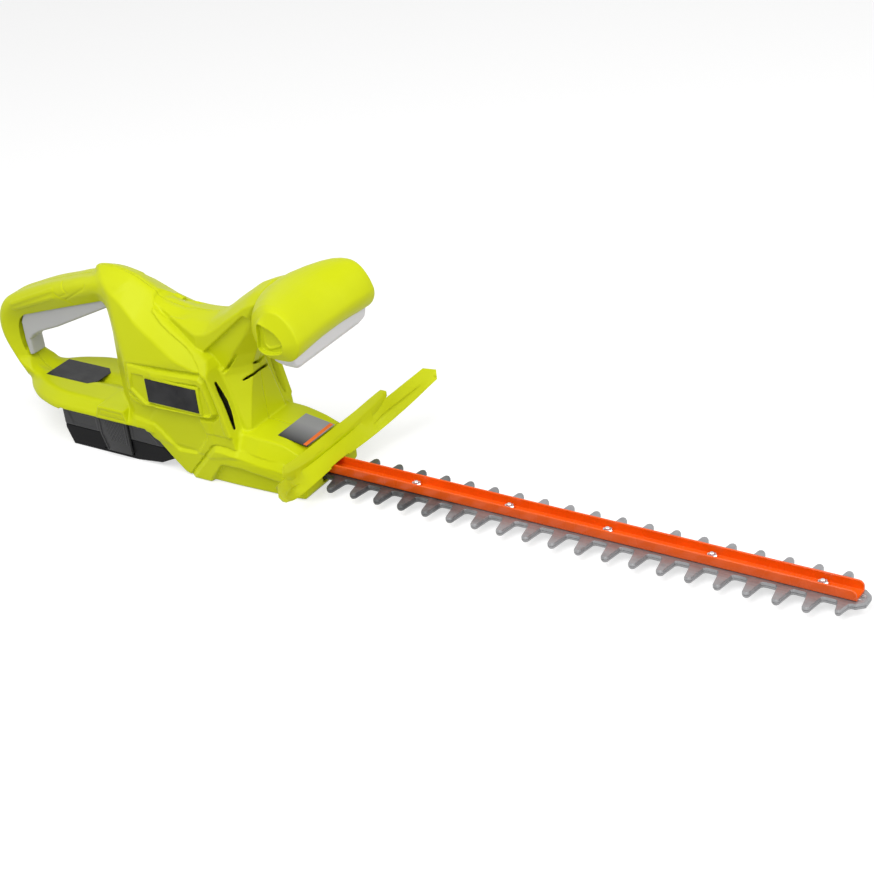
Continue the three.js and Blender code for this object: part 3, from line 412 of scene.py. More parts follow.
def arm_field(x, w, z):
    """The neck that carries the front handle."""
    top = profile(SADDLE_TOP, x)
    half = 25 - 0.32 * np.maximum(-112 - x, 0)
    crown = (z - top + 0.2 * w) / 1.02
    bevel = (z - top + 0.2 * 15 + 0.72 * (w - 15)) / 1.23
    panel = outline_distance(ARM_PANEL, x, z)
    slot = path_distance([(-77.5, 99.5), (-88.5, 85.5)], x, z)
    sunk = 3.6 * ramp(-panel, 1.0) + 4 * ramp(1.2 - slot, 0.6)
    side = w - half + sunk
    front_x = np.interp(z, [30, 36, 60, 88, 100, 131, 165], [-71, -71.5, -72, -71.5, -66, -45.5, -20])
    flat = np.interp(z, [39, 68, 82, 100, 120], [22, 13.5, 8.5, 8, 11])
    front = (x - front_x + 1.05 * np.maximum(w - flat, 0)) / 1.45
    shape = soft_both(crown, bevel, 1.6)
    shape = round_both(shape, side, 1.0)
    shape = round_both(shape, front, 1.2)
    return all_of(shape, -176 - x, 30 - z)


def heel_field(x, w, z):
    """The wide foot under the grip's window."""
    plan = curved_outline(HEEL_PLAN, 5, 2, x, w)
    slope = (plan + (z - RIM_Z - 2.5) * 0.85) / 1.31
    shape = soft_both(np.maximum(plan, RIM_Z - 1.4 - z), slope, 2)
    return soft_both(shape, z - DECK_Z, 2.5)


def belly_field(x, w, z, limit):
    """The lower body and nose, with its deck and sloped sides."""
    outline = outline_distance(BELLY_OUTLINE, x, z)
    shape = round_both(w - limit, outline, 2.2)
    deck_z = profile(DECK_TOP, x)
    deck = z - deck_z + 0.004 * np.maximum(w - 17, 0) ** 2
    edge = np.interp(x, [-58, -35, -15], [29, 27, 24.5])
    shoulder = (z - deck_z + 1.6 * (w - edge)) / 1.89
    ledge = outline_distance(LEDGE_OUTLINE, x, z)
    shoulder = np.where(ledge < 0, np.minimum(shoulder, shape), shoulder)
    sloped = soft_both(soft_both(shape, shoulder, 1.2), deck, 1.6)
    ahead = smooth_step(x, -100, -86)
    return shape + (sloped - shape) * ahead


def vent(path, x, w, z):
    """A slot through the wall along a path, cut in along one direction; each point is x, w, z and radius."""
    draw = np.array([0.52, 0.70, 0.49])
    shape = 1e9
    for start, end in zip(path, path[1:]):
        run = np.subtract(end[:3], start[:3])
        flat = run - run @ draw * draw
        offset = (x - start[0], w - start[1], z - start[2])
        depth = sum(o * d for o, d in zip(offset, draw))
        away = [o - depth * d for o, d in zip(offset, draw)]
        t = np.clip(sum(o * d for o, d in zip(away, flat)) / (flat @ flat), 0, 1)
        reach = np.sqrt(sum((o - t * d) ** 2 for o, d in zip(away, flat)))
        along = np.abs(depth - t * (run @ draw))
        shape = any_of(shape, all_of(reach - start[3] - t * (end[3] - start[3]), along - 8))
    return shape


def body_outside(x, w, z, limit, detailed):
    """The closed outside of the body, before it is hollowed."""
    shape = round_either(heel_field(x, w, z), belly_field(x, w, z, limit), 2)
    shape = round_either(tower_field(x, w, z, limit), shape, 3)
    shape = round_either(shape, grip_field(x, w, z), 5)
    shape = round_either(shape, arm_field(x, w, z), 1.2)
    if not detailed:
        return shape
    crescent = -outline_distance(SADDLE_CRESCENT, x, w)
    dip = 1.3 * smooth_step(crescent, -0.6, 0.8) * (1 - smooth_step(crescent, 3, 11))
    shape = shape + dip * smooth_step(z, 116, 120) * (x > -175) * (1 - smooth_step(x, -138, -124))
    for path in GRIP_STRIPS:
        shape = shape - 0.5 * raised(path_distance(path, x, z), 1.7)
    for path in GRIP_CREASES:
        shape = shape + 0.55 * raised(path_distance(path, x, z), 0.65, 0.4)
    edge = outline_distance(TAB_OUTLINE, x, z)
    line = 0.55 * raised(np.abs(edge + 3.2), 0.55, 0.3)
    tab = round_both(edge, w - BODY_HALF - TAB_RISE + line, 0.8)
    return less(round_either(shape, tab, 0.4), *(vent(path, x, w, z) for path in VENTS))


def body_halves(step):
    """The hollow half body: its block, its field, and its field with the screws' bosses."""
    block = Block((-347, -2 * step, -12), (-10, 46, 168), step)
    x, w, z = block.x, block.y, block.z
    outside = body_outside(x, w, z, side_limit(x, z), True)
    cavity = body_outside(x, w, z, BODY_HALF - 3.4 + 0 * (x + z), False) + WALL + 1.1
    pack = outline_distance(PACK_OUTLINE, x, z) - 0.6
    terminals = box_distance(*local_box("terminal_block"), x, w, z, 0.5)
    gear_case = local_box("gear_case")
    case = box_distance(*gear_case, x, w, z, 0.4)
    mouth = all_of(gear_case[1][0] - 1 - x, w - MOUTH_HALF, -4.5 - z, z - MOUTH_TOP)
    trigger = any_of(*(outline_distance(turned(TRIGGER_OUTLINE, TRIGGER_PIVOT, angle), x, z)
                       for angle in (0, TRIGGER_TRAVEL)))
    lug = spot_distance(TRIGGER_PIVOT, x, z) - LUG_RADIUS - 0.5
    trigger = all_of(any_of(trigger - 0.7, lug), w - TRIGGER_HALF - 0.7)
    rooms = any_of(pack, terminals, case, mouth, trigger)
    plain = less(outside, cavity)
    screwed = plain
    for spot in SCREW_SPOTS:
        tube = spot_distance(spot, x, z)
        screwed = any_of(screwed, all_of(tube - BOSS_RADIUS, outside, BOSS_START - w))
        screwed = less(screwed, all_of(tube - BORE_RADIUS, BORE_START - w))
    kept = less(PARTING - w, rooms)
    return block, all_of(plain, kept), all_of(screwed, kept)


def turned(outline, pivot, angle):
    """An outline turned about a point, in the side view."""
    c, s = math.cos(angle), math.sin(angle)
    return [(pivot[0] + (x - pivot[0]) * c + (z - pivot[1]) * s,
             pivot[1] - (x - pivot[0]) * s + (z - pivot[1]) * c) for x, z in outline]


# ---------- Front handle and guard: outlines that change across the tool ----------

def sliced(block, rings):
    """Distance from a body whose side outline is rings(w) at each distance w from the mid-plane."""
    planes = [outline_distance(rings(abs(w)), block.x[:, :, 0], block.z[0]) for w in block.y.ravel()]
    return np.stack(planes, 1)


HANDLE_STATIONS = [0, 13, 25, 36, 43, 47, 49.5, 54.4]
HANDLE_EDGES = {
    "back": [-54, -52, -47, -41, -35.5, -30.5, -26.5, -25],
    "front": [12, 12, 12.5, 13, 13, 12.7, 12.2, 10.5],
    "top": [166, 166, 166, 165.5, 164.8, 163.8, 162.6, 159.4],
    "low": [123, 123, 123, 123, 123.2, 123.4, 123.8, 124.2],
}
RING_W, CAP_W = 49.5, 54.8
HANDLE_SHAPE = [(0, 0.42), (0.03, 0.62), (0.12, 0.82), (0.27, 0.955), (0.42, 1.0), (0.6, 0.975), (0.76, 0.87),
                (0.89, 0.7), (0.97, 0.53), (1.0, 0.4), (0.97, 0.24), (0.88, 0.1), (0.74, 0.01), (0.5, -0.005),
                (0.25, 0.01), (0.1, 0.1), (0.03, 0.24)]
POCKET_OUTLINE = [(-20.5, 153), (-13, 151.5), (-5, 147.5), (-0.5, 142), (0.6, 137), (-2.5, 132.4),
                  (-10.5, 130), (-18.5, 130.2), (-22.6, 134), (-21.3, 143)]
POCKET_RIDGE = [(-19, 150), (-18, 142), (-18, 136), (-14, 133), (-8, 135), (-2, 138), (0, 140)]
PADDLE_HALF = 47.0
PADDLE_OUTLINE = [(-17, 134), (-17, 119), (-9, 113.5), (1, 113.5), (4.5, 118), (5, 134)]


def handle_field(block):
    """The hollow front handle, with a sunk triangle in each end and room for its lever."""
    x, y, z = block.x, block.y, block.z
    shape = np.array(HANDLE_SHAPE)

    def ring(w):
        back, front, top, low = (np.interp(w, HANDLE_STATIONS, edge) for edge in HANDLE_EDGES.values())
        points = np.stack([back + shape[:, 0] * (front - back), low + shape[:, 1] * (top - low)], 1)
        return through(points, 3)

    w = np.abs(y)
    outside = sliced(block, ring) * 0.93
    pocket = outline_distance(through(POCKET_OUTLINE, 3), x, z)
    inward = np.maximum(-outline_distance(ring(RING_W), x, z), 0)
    rise = inward / np.maximum(inward + np.maximum(pocket, 0), 0.01)
    outside = soft_both(outside, (w - RING_W - (CAP_W - RING_W) * rise) * 0.82, 0.5)
    seam = smooth_step(0.8 - path_distance(POCKET_RIDGE, x, z), -0.3, 0.4)
    outside = less(outside, all_of(pocket, CAP_W - 4.6 + 1.2 * seam - w))
    paddle = outline_distance(PADDLE_OUTLINE, x, z)
    raised_paddle = outline_distance([(px, pz + 4) for px, pz in PADDLE_OUTLINE], x, z)
    room = all_of(any_of(paddle, raised_paddle) - 0.6, w - PADDLE_HALF - 0.6)
    return less(outside, outside + WALL, room, arm_field(x, w, z) - 0.3)


# Guard edges: half span, x and z. The wing's top edge, lip and lower edge end at their own half spans.
GUARD_TOP = [(0, -12.5, 21.5), (20, -12.5, 21.5), (40, -12, 23), (60, -9, 29), (80, 2, 39), (90, 8.2, 44.3),
             (97.5, 12.9, 48.4)]
GUARD_LIP = [(0, -7, 12.8), (20, -7, 14), (40, -8, 16), (60, -5, 22), (80, 7, 32), (95, 15.4, 39),
             (106.6, 19.3, 44)]
GUARD_LOW = [(0, -6, 10.8), (20, -5, 10.5), (40, -4, 10.5), (60, 0, 14), (80, 10, 24), (95, 18.4, 33.4),
             (102.3, 22.3, 37.7)]
SCOOP_SHARES = ((0.07, 0.1), (0.16, 1), (0.4, 0.98), (0.66, 0.62), (0.86, 0.1))
SHELF_CREST = [(0, -19, 31), (20, -19, 31), (40, -16, 33.5), (60, -10.5, 39), (66, -8.2, 40.8)]
SHELF_FOOT = [(0, -14, 22.5), (20, -14.5, 23), (40, -12, 27), (60, -7, 33.5), (70, -5.2, 38.2)]


def on_edge(edge, share):
    """The point that far along an edge, with its half span: (x, half span, z)."""
    spans = [p[0] for p in edge]
    span = spans[-1] * share
    x, z = (profile([(p[0], p[k]) for p in edge], span) for k in (1, 2))
    return np.array([x, span, z])


def wing_ring(share):
    """The wing's section: top edge, lip, scooped front, lower edge and back."""
    top, lip, low = (on_edge(edge, share) for edge in (GUARD_TOP, GUARD_LIP, GUARD_LOW))
    down = low - lip
    inward = np.array([down[2], 0, -down[0]]) / math.hypot(down[0], down[2])
    scoop = 3.0 * math.sin(math.pi * min(max((share - 0.46) / 0.4, 0), 1)) ** 0.9
    front = [lip + down * u + inward * scoop * v for u, v in SCOOP_SHARES]
    thick = 5.2 - 1.6 * share
    return [top, lip, *front, low, low - (thick, 0, 0), top - (thick * 0.8, 0, 3)]


def shelf_ring(share):
    """The section of the shelf behind the wing."""
    crest, foot = (on_edge(edge, share) for edge in (SHELF_CREST, SHELF_FOOT))
    drop = np.interp(share, [0, 0.8, 1], [11, 8, 5])
    return [crest, foot, foot - (0, 0, drop), np.array([crest[0], crest[1], foot[2] - drop])]


def across(ring, count):
    """Rings from the right-hand end over the middle to the left-hand end."""
    shares = [i / count for i in range(count + 1)]
    mirrored = [[p * (1, -1, 1) for p in ring(share)] for share in shares[:0:-1]]
    return mirrored + [ring(share) for share in shares]


def nose_cutter(step):
    """The part of the body that the guard fits round."""
    block = Block((-32, -46, -2), (-8, 46, 56), step)
    x, w, z = block.x, np.abs(block.y), block.z
    body = body_outside(x, w, z, side_limit(x, z), True) - 0.25
    return block, all_of(body, -31 - x, x + 9, w - 45, np.abs(z - 27) - 28)


# ---------- Meshes ----------

def placed(name, data):
    """A new object in the scene, with that data."""
    body = bpy.data.objects.new(name, data)
    bpy.context.scene.collection.objects.link(body)
    return body


def write_mesh(name, points, faces):
    """A mesh object from workshop millimetres."""
    mesh = bpy.data.meshes.new(name)
    faces = faces.tolist() if isinstance(faces, np.ndarray) else [tuple(face) for face in faces]
    mesh.from_pydata((np.asarray(points) * MM + np.array(ORIGIN)).tolist(), [], faces)
    mesh.update()
    mesh.polygons.foreach_set("use_smooth", [True] * len(mesh.polygons))
    return placed(name, mesh)


def point_cloud(name, points):
    """Loose points in workshop millimetres, for copies to stand on."""
    return write_mesh(name, points, [])


def bake(body):
    """Applies the object's modifiers to its mesh."""
    view = bpy.context.evaluated_depsgraph_get()
    mesh = bpy.data.meshes.new_from_object(body.evaluated_get(view))
    body.modifiers.clear()
    body.data = mesh
    return body


# The most triangles that a moulding keeps.
HOUSING_MOST, HANDLE_MOST, PACK_MOST, SMALL_MOST = 190000, 150000, 120000, 60000


def thin(body, most):
    """Merges the flatter faces until the mesh holds at most so many triangles."""
    count = sum(len(p.vertices) - 2 for p in body.data.polygons)
    if count > most:
        fewer = body.modifiers.new("Thin", "DECIMATE")
        fewer.ratio = most / count
        bake(body)
    return body


def largest_pieces(points, quads, least):
    """Leaves out specks: sheets joined to fewer than that many points."""
    parent = np.arange(len(points))
    edges = np.concatenate([quads[:, [i, (i + 1) % 4]] for i in range(4)])
    while True:
        low = parent.copy()
        np.minimum.at(low, edges[:, 0], parent[edges[:, 1]])
        np.minimum.at(low, edges[:, 1], parent[edges[:, 0]])
        low = low[low]
        if (low == parent).all():
            break
        parent = low
    size = np.bincount(parent, minlength=len(points))
    keep = size[parent] >= least
    new = np.cumsum(keep) - 1
    return points[keep], new[quads[keep[quads[:, 0]]]]


def moulding(name, block, field, most, mirror=False, parting=None):
    """A moulded piece from its field, with its edges slightly eased and its rim flat on the parting plane."""
    points, quads = net(field, block)
    points, quads = largest_pieces(points, quads, 400)
    points = settle(points, quads, 1)
    if parting is not None:
        rim = np.abs(points[:, 1] - parting) < 0.55 * block.step
        points[rim, 1] = parting
    if mirror:
        points = points * (1, -1, 1)
        quads = quads[:, ::-1]
    return thin(write_mesh(name, points, quads), most)


def blend_colour(a, b, share):
    """Colour a with that share of colour b."""
    return tuple(p + (q - p) * share for p, q in zip(a, b))


# ---------- Materials ----------

class Finish:
    """A node material for one of the trimmer's surfaces, patterned on Object coordinates in metres."""

    def __init__(self, name, colour, roughness, metallic=0.0, **sockets):
        self.material = bpy.data.materials.new(name)
        self.material.use_nodes = True
        self.material.diffuse_color = (*colour, 1.0)
        tree = self.material.node_tree
        self.nodes, self.links = tree.nodes, tree.links
        self.shader = self.nodes["Principled BSDF"]
        self.set("Base Color", (*colour, 1.0))
        self.set("Roughness", roughness)
        self.set("Metallic", metallic)
        for socket, value in sockets.items():
            self.set(socket.replace("_", " "), value)
        self.colour = colour
        self.place = self.nodes.new("ShaderNodeTexCoord").outputs["Object"]
        self.height = None

    def set(self, socket, value):
        self.shader.inputs[socket].default_value = value

    def noise(self, scale, detail=2.0, stretch=(1, 1, 1), distortion=0.0):
        """Noise of that many features a metre, drawn out along an axis by a stretch below 1."""
        source = self.place
        if stretch != (1, 1, 1):
            mapping = self.nodes.new("ShaderNodeMapping")
            mapping.inputs["Scale"].default_value = stretch
            self.links.new(source, mapping.inputs["Vector"])
            source = mapping.outputs["Vector"]
        node = self.nodes.new("ShaderNodeTexNoise")
        node.inputs["Scale"].default_value = scale
        node.inputs["Detail"].default_value = detail
        node.inputs["Distortion"].default_value = distortion
        self.links.new(source, node.inputs["Vector"])
        return node.outputs["Fac"]

    def cells(self, scale):
        node = self.nodes.new("ShaderNodeTexVoronoi")
        node.inputs["Scale"].default_value = scale
        self.links.new(self.place, node.inputs["Vector"])
        return node.outputs["Distance"]

    def along(self, axis, start, end):
        """0 before start and 1 past end on an axis of the row frame, in workshop millimetres."""
        split = self.nodes.new("ShaderNodeSeparateXYZ")
        self.links.new(self.place, split.inputs[0])
        index = "XYZ".index(axis)
        return self.spread(split.outputs[index], 0, 1, start * MM + ORIGIN[index], end * MM + ORIGIN[index])

    def spread(self, value, low, high, source_low=0.0, source_high=1.0):
        node = self.nodes.new("ShaderNodeMapRange")
        for index, number in enumerate((source_low, source_high, low, high), 1):
            node.inputs[index].default_value = number
        self.links.new(value, node.inputs[0])
        return node.outputs[0]

    def even(self, value, low, high):
        """A noise's middle range, spread from low to high."""
        return self.spread(value, low, high, 0.3, 0.7)

    def darker(self, share, colour, amount):
        """The colour, with up to that much black where share is 0."""
        return self.mix(share, blend_colour(colour, (0, 0, 0), amount), colour)

    def maths(self, operation, a, b):
        node = self.nodes.new("ShaderNodeMath")
        node.operation = operation
        for index, value in enumerate((a, b)):
            if isinstance(value, (int, float)):
                node.inputs[index].default_value = value
            else:
                self.links.new(value, node.inputs[index])
        return node.outputs[0]

    def mix(self, share, a, b):
        """Colour a where share is 0 and colour b where it is 1."""
        node = self.nodes.new("ShaderNodeMix")
        node.data_type = "RGBA"
        self.links.new(share, node.inputs["Factor"])
        for socket, value in ((node.inputs[6], a), (node.inputs[7], b)):
            if isinstance(value, tuple):
                socket.default_value = (*value[:3], 1.0)
            else:
                self.links.new(value, socket)
        return node.outputs[2]

    def paint(self, colour):
        self.links.new(colour, self.shader.inputs["Base Color"])

    def polish(self, roughness):
        self.links.new(roughness, self.shader.inputs["Roughness"])

    def relief(self, height, depth):
        """Raises the surface by a height pattern, as much as depth millimetres."""
        node = self.nodes.new("ShaderNodeBump")
        node.inputs["Strength"].default_value = 1.0
        node.inputs["Distance"].default_value = depth * MM
        self.links.new(height, node.inputs["Height"])
        if self.height:
            self.links.new(self.height, node.inputs["Normal"])
        self.height = node.outputs["Normal"]
        self.links.new(self.height, self.shader.inputs["Normal"])
        return self


STRIPE_X, STRIPE_HALF = (-25.2, -22.0), 18.1


def moulded_plastic(name, colour, roughness, grain=0.012, mottle=0.05, gloss=0.4):
    """Moulded plastic: a fine spark-eroded grain, with slightly uneven gloss and depth of colour."""
    finish = Finish(name, colour, roughness, Specular_IOR_Level=gloss)
    flow = finish.noise(14, 2.5)
    cloud = finish.even(flow, 0, 1)
    finish.paint(finish.mix(cloud, blend_colour(colour, (0, 0, 0), mottle),
                            blend_colour(colour, (1, 1, 1), mottle * 0.2)))
    fine = finish.noise(2600, 1.5)
    finish.polish(finish.maths("ADD", finish.even(flow, roughness - 0.05, roughness + 0.04),
                               finish.even(fine, -0.03, 0.03)))
    finish.relief(fine, grain)
    return finish.material


def painted_metal(name, colour):
    """Baked enamel over pressed steel: glossy, with a faint orange peel and darker lanes of painted
    reflection.
    """
    finish = Finish(name, colour, 0.32, Specular_IOR_Level=0.25, Coat_Weight=0.08, Coat_Roughness=0.2)
    reflection_lanes = finish.noise(46, 1.5, stretch=(1, 0.2, 0.2))
    painted_reflection = finish.spread(reflection_lanes, 0, 1, 0.4, 0.66)
    # painted reflection: darker lanes across the channel, about a tooth pitch apart
    finish.paint(finish.mix(painted_reflection, blend_colour(colour, (0.35, 0.02, 0), 0.12), colour))
    finish.polish(finish.even(reflection_lanes, 0.24, 0.33))
    finish.relief(finish.noise(700, 2), 0.02)
    return finish.material


def blade_steel(name, shaded_steel, ground):
    """Blade steel: painted shade makes it dark by the guard and brighter towards the tip; ground along its
    length.
    """
    finish = Finish(name, ground, 0.36, 0.55)
    # painted shade: 0 by the guard, where the steel is painted dark, and 1 towards the tip
    out_of_shade = finish.along("X", 60, 150)
    cloud = finish.noise(120, 3)
    out_of_shade = finish.spread(finish.maths("ADD", out_of_shade, finish.even(cloud, -0.25, 0.25)), 0, 1)
    lines = finish.noise(900, 2, stretch=(0.05, 1, 1))
    streak = finish.even(lines, 0, 1)
    finish.paint(finish.mix(out_of_shade, finish.darker(streak, shaded_steel, 0.2), finish.darker(streak, ground, 0.15)))
    finish.polish(finish.even(lines, 0.3, 0.46))
    finish.relief(lines, 0.015)
    return finish.material


def plated_metal(name, colour, roughness):
    """Plated or turned metal with a fine crystalline speckle."""
    finish = Finish(name, colour, roughness, 1.0)
    grain = finish.noise(1100, 3)
    finish.paint(finish.darker(finish.even(grain, 0, 1), colour, 0.14))
    finish.polish(finish.even(grain, roughness - 0.06, roughness + 0.1))
    finish.relief(grain, 0.01)
    return finish.material


def cast_metal(name, colour):
    """Die-cast alloy: sandy skin and slow patches of stain."""
    finish = Finish(name, colour, 0.5, 0.9)
    sand = finish.noise(1500, 3)
    stain = finish.noise(40, 3)
    finish.paint(finish.darker(finish.even(stain, 0, 1), colour, 0.25))
    finish.polish(finish.even(sand, 0.4, 0.62))
    finish.relief(sand, 0.04)
    return finish.material


def printed_plate(name, colour, roughness=0.3):
    """A thin printed plate under clear film."""
    finish = Finish(name, colour, roughness, Specular_IOR_Level=0.12, Coat_Weight=0.04, Coat_Roughness=0.15)
    fine = finish.noise(1800, 2)
    cloud = finish.even(finish.noise(60, 2), 0, 1)
    finish.paint(finish.mix(cloud, colour, blend_colour(colour, (1, 1, 1), 0.02)))
    finish.polish(finish.even(fine, roughness - 0.05, roughness + 0.05))
    finish.relief(fine, 0.006)
    return finish.material


def striped_label(name, dark, pale, stripe):
    """The deck label: dark at its near edge, grey on, with a plain stripe along its front."""
    finish = Finish(name, dark, 0.34, Specular_IOR_Level=0.2, Coat_Weight=0.05, Coat_Roughness=0.2)
    shade = finish.mix(finish.along("Y", -19, 6), dark, pale)
    outer, inner = STRIPE_HALF + 0.1, STRIPE_HALF - 0.1
    ends = finish.maths("MULTIPLY", finish.along("Y", -outer, -inner), finish.along("Y", outer, inner))
    edge = finish.along("X", STRIPE_X[0] - 0.1, STRIPE_X[0] + 0.1)
    front = finish.along("X", STRIPE_X[1] + 0.1, STRIPE_X[1] - 0.1)
    band = finish.maths("MULTIPLY", finish.maths("MULTIPLY", edge, front), ends)
    finish.paint(finish.mix(band, shade, stripe))
    finish.polish(finish.even(finish.noise(1500, 2), 0.3, 0.42))
    return finish.material


def circuit_board(name, colour):
    """Solder mask over copper tracks."""
    finish = Finish(name, colour, 0.35, Coat_Weight=0.2)
    cells = finish.cells(260)
    track = finish.spread(cells, 0, 1, 0.04, 0.06)
    finish.paint(finish.mix(track, blend_colour(colour, (0.3, 0.5, 0.2), 0.35), colour))
    finish.polish(finish.even(finish.noise(900, 2), 0.28, 0.42))
    return finish.material


def finish_for(slot):
    """The material for one of the record's slots, made once."""
    name = "finish_" + slot
    if name in bpy.data.materials:
        return bpy.data.materials[name]
    settings = bpy.context.scene.trimmer_colours
    colours = {key: tuple(getattr(settings, key)) for key in TrimmerColours.__annotations__}
    makers = {
        "lime": lambda: moulded_plastic(name, colours["housing"], 0.42, gloss=0.14),
        "trigger_grey": lambda: moulded_plastic(name, colours["trigger"], 0.5),
        "paddle_grey": lambda: moulded_plastic(name, colours["paddle"], 0.48),
        "battery_dark": lambda: moulded_plastic(name, colours["pack_upper"], 0.46, 0.02, gloss=0.25),
        "battery_black": lambda: moulded_plastic(name, colours["pack_lower"], 0.4, gloss=0.06),
        "switch_black": lambda: moulded_plastic(name, (0.014, 0.014, 0.015), 0.45),
        "label": lambda: printed_plate(name, colours["plate"]),
        "orange_steel": lambda: painted_metal(name, colours["channel"]),
        # painted shade: the blades' darker colour by the guard
        "blade_steel": lambda: blade_steel(name, (0.11, 0.112, 0.115), colours["blade"]),
        "zinc": lambda: plated_metal(name, (0.72, 0.74, 0.76), 0.24),
        "steel": lambda: plated_metal(name, (0.5, 0.5, 0.51), 0.32),
        "copper": lambda: plated_metal(name, (0.62, 0.32, 0.14), 0.34),
        "cast_alloy": lambda: cast_metal(name, (0.42, 0.42, 0.43)),
        "cell_wrap": lambda: printed_plate(name, (0.03, 0.21, 0.09), 0.35),
        "board": lambda: circuit_board(name, (0.012, 0.1, 0.035)),
    }
    return makers[slot]()


def settled_in(body, slot, rides, *nodes):
    """Gives a finished piece its material, its CAD body and the parts that it stands for."""
    if not any(body.data.materials):
        body.data.materials.clear()
        body.data.materials.append(finish_for(slot))
    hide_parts(*nodes)
    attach(body, rides)
    return body


# ---------- Turned, flat and cut shapes ----------

def solid(name, points, faces, sharp=35):
    """A closed mesh from workshop millimetres, smooth but for its edges past the sharp angle."""
    body = write_mesh(name, points, faces)
    tidy(body.data)
    body.data.set_sharp_from_angle(angle=math.radians(sharp))
    return body


def tidy(mesh):
    """Merges doubles and turns every face outwards."""
    work = bmesh.new()
    work.from_mesh(mesh)
    bmesh.ops.remove_doubles(work, verts=work.verts, dist=0.002 * MM)
    bmesh.ops.recalc_face_normals(work, faces=work.faces)
    work.to_mesh(mesh)
    work.free()
    mesh.polygons.foreach_set("use_smooth", [True] * len(mesh.polygons))


def lathe_parts(profile_points, sides, centre=(0, 0, 0), axis="Z"):
    """Points and faces turned round an axis: the profile is (radius, height), on the axis at both ends."""
    points, faces, rings = [], [], []
    for radius, height in profile_points:
        if radius < 1e-6:
            rings.append([len(points)])
            points.append((0, 0, height))
        else:
            rings.append(list(range(len(points), len(points) + sides)))
            angles = [math.tau * i / sides for i in range(sides)]
            points += [(radius * math.cos(a), radius * math.sin(a), height) for a in angles]
    for a, b in zip(rings, rings[1:]):
        for i in range(sides):
            j = (i + 1) % sides
            if len(a) == 1:
                faces.append((a[0], b[j], b[i]))
            elif len(b) == 1:
                faces.append((a[i], a[j], b[0]))
            else:
                faces.append((a[i], a[j], b[j], b[i]))
    if axis == "Y":
        points = [(px, pz, -py) for px, py, pz in points]
    return [tuple(p + c for p, c in zip(point, centre)) for point in points], faces


def loft_parts(rings):
    """Points and faces over closed rings of the same number of points, capped at both ends."""
    size = len(rings[0])
    points = [tuple(p) for ring in rings for p in ring]
    faces = [tuple(reversed(range(size))), tuple(range(len(points) - size, len(points)))]
    for k in range(len(rings) - 1):
        for i in range(size):
            j = (i + 1) % size
            faces.append((k * size + i, k * size + j, (k + 1) * size + j, (k + 1) * size + i))
    return points, faces


def gathered(*parts):
    """Several sets of points and faces as one."""
    points, faces = [], []
    for some_points, some_faces in parts:
        start = len(points)
        points += list(some_points)
        faces += [tuple(i + start for i in face) for face in some_faces]
    return points, faces


def combine(body, cutter, operation="DIFFERENCE"):
    """Cuts the other piece's volume out of this one, or joins it on, and throws the other away."""
    cut = body.modifiers.new("Cut", "BOOLEAN")
    cut.operation = operation
    cut.solver = "EXACT"
    cut.object = cutter
    bake(body)
    bpy.data.objects.remove(cutter)
    return body


def eased(body, width, segments=2, angle=32, sharp=None):
    """Rounds the piece's edges by that many millimetres."""
    ease = body.modifiers.new("Ease", "BEVEL")
    ease.width = width * MM
    ease.segments = segments
    ease.limit_method = "ANGLE"
    ease.angle_limit = math.radians(angle)
    ease.harden_normals = False
    bake(body)
    tidy(body.data)
    body.data.set_sharp_from_angle(angle=math.radians(sharp or angle))
    return body


def prism(outline, low, high):
    """Points and faces of a plan outline between two heights."""
    return loft_parts([[(x, y, z) for x, y in outline] for z in (low, high)])


def slab(outline, near, far, side=1):
    """Points and faces of a side outline between two distances from the mid-plane."""
    return loft_parts([[(x, side * y, z) for x, z in outline] for y in (near, far)])


def stadium(x, half_length, radius, low, high, sides=8):
    """A slot-shaped block along x."""
    ring = [(x + sign * half_length + radius * math.cos(a), radius * math.sin(a))
            for sign, start in ((1, -math.pi / 2), (-1, math.pi / 2))
            for a in (start + math.pi * i / sides for i in range(sides + 1))]
    return prism(ring, low, high)


def box_parts(x0, x1, y0, y1, z0, z1):
    return prism([(x0, y0), (x1, y0), (x1, y1), (x0, y1)], z0, z1)


# ---------- Geometry Nodes ----------

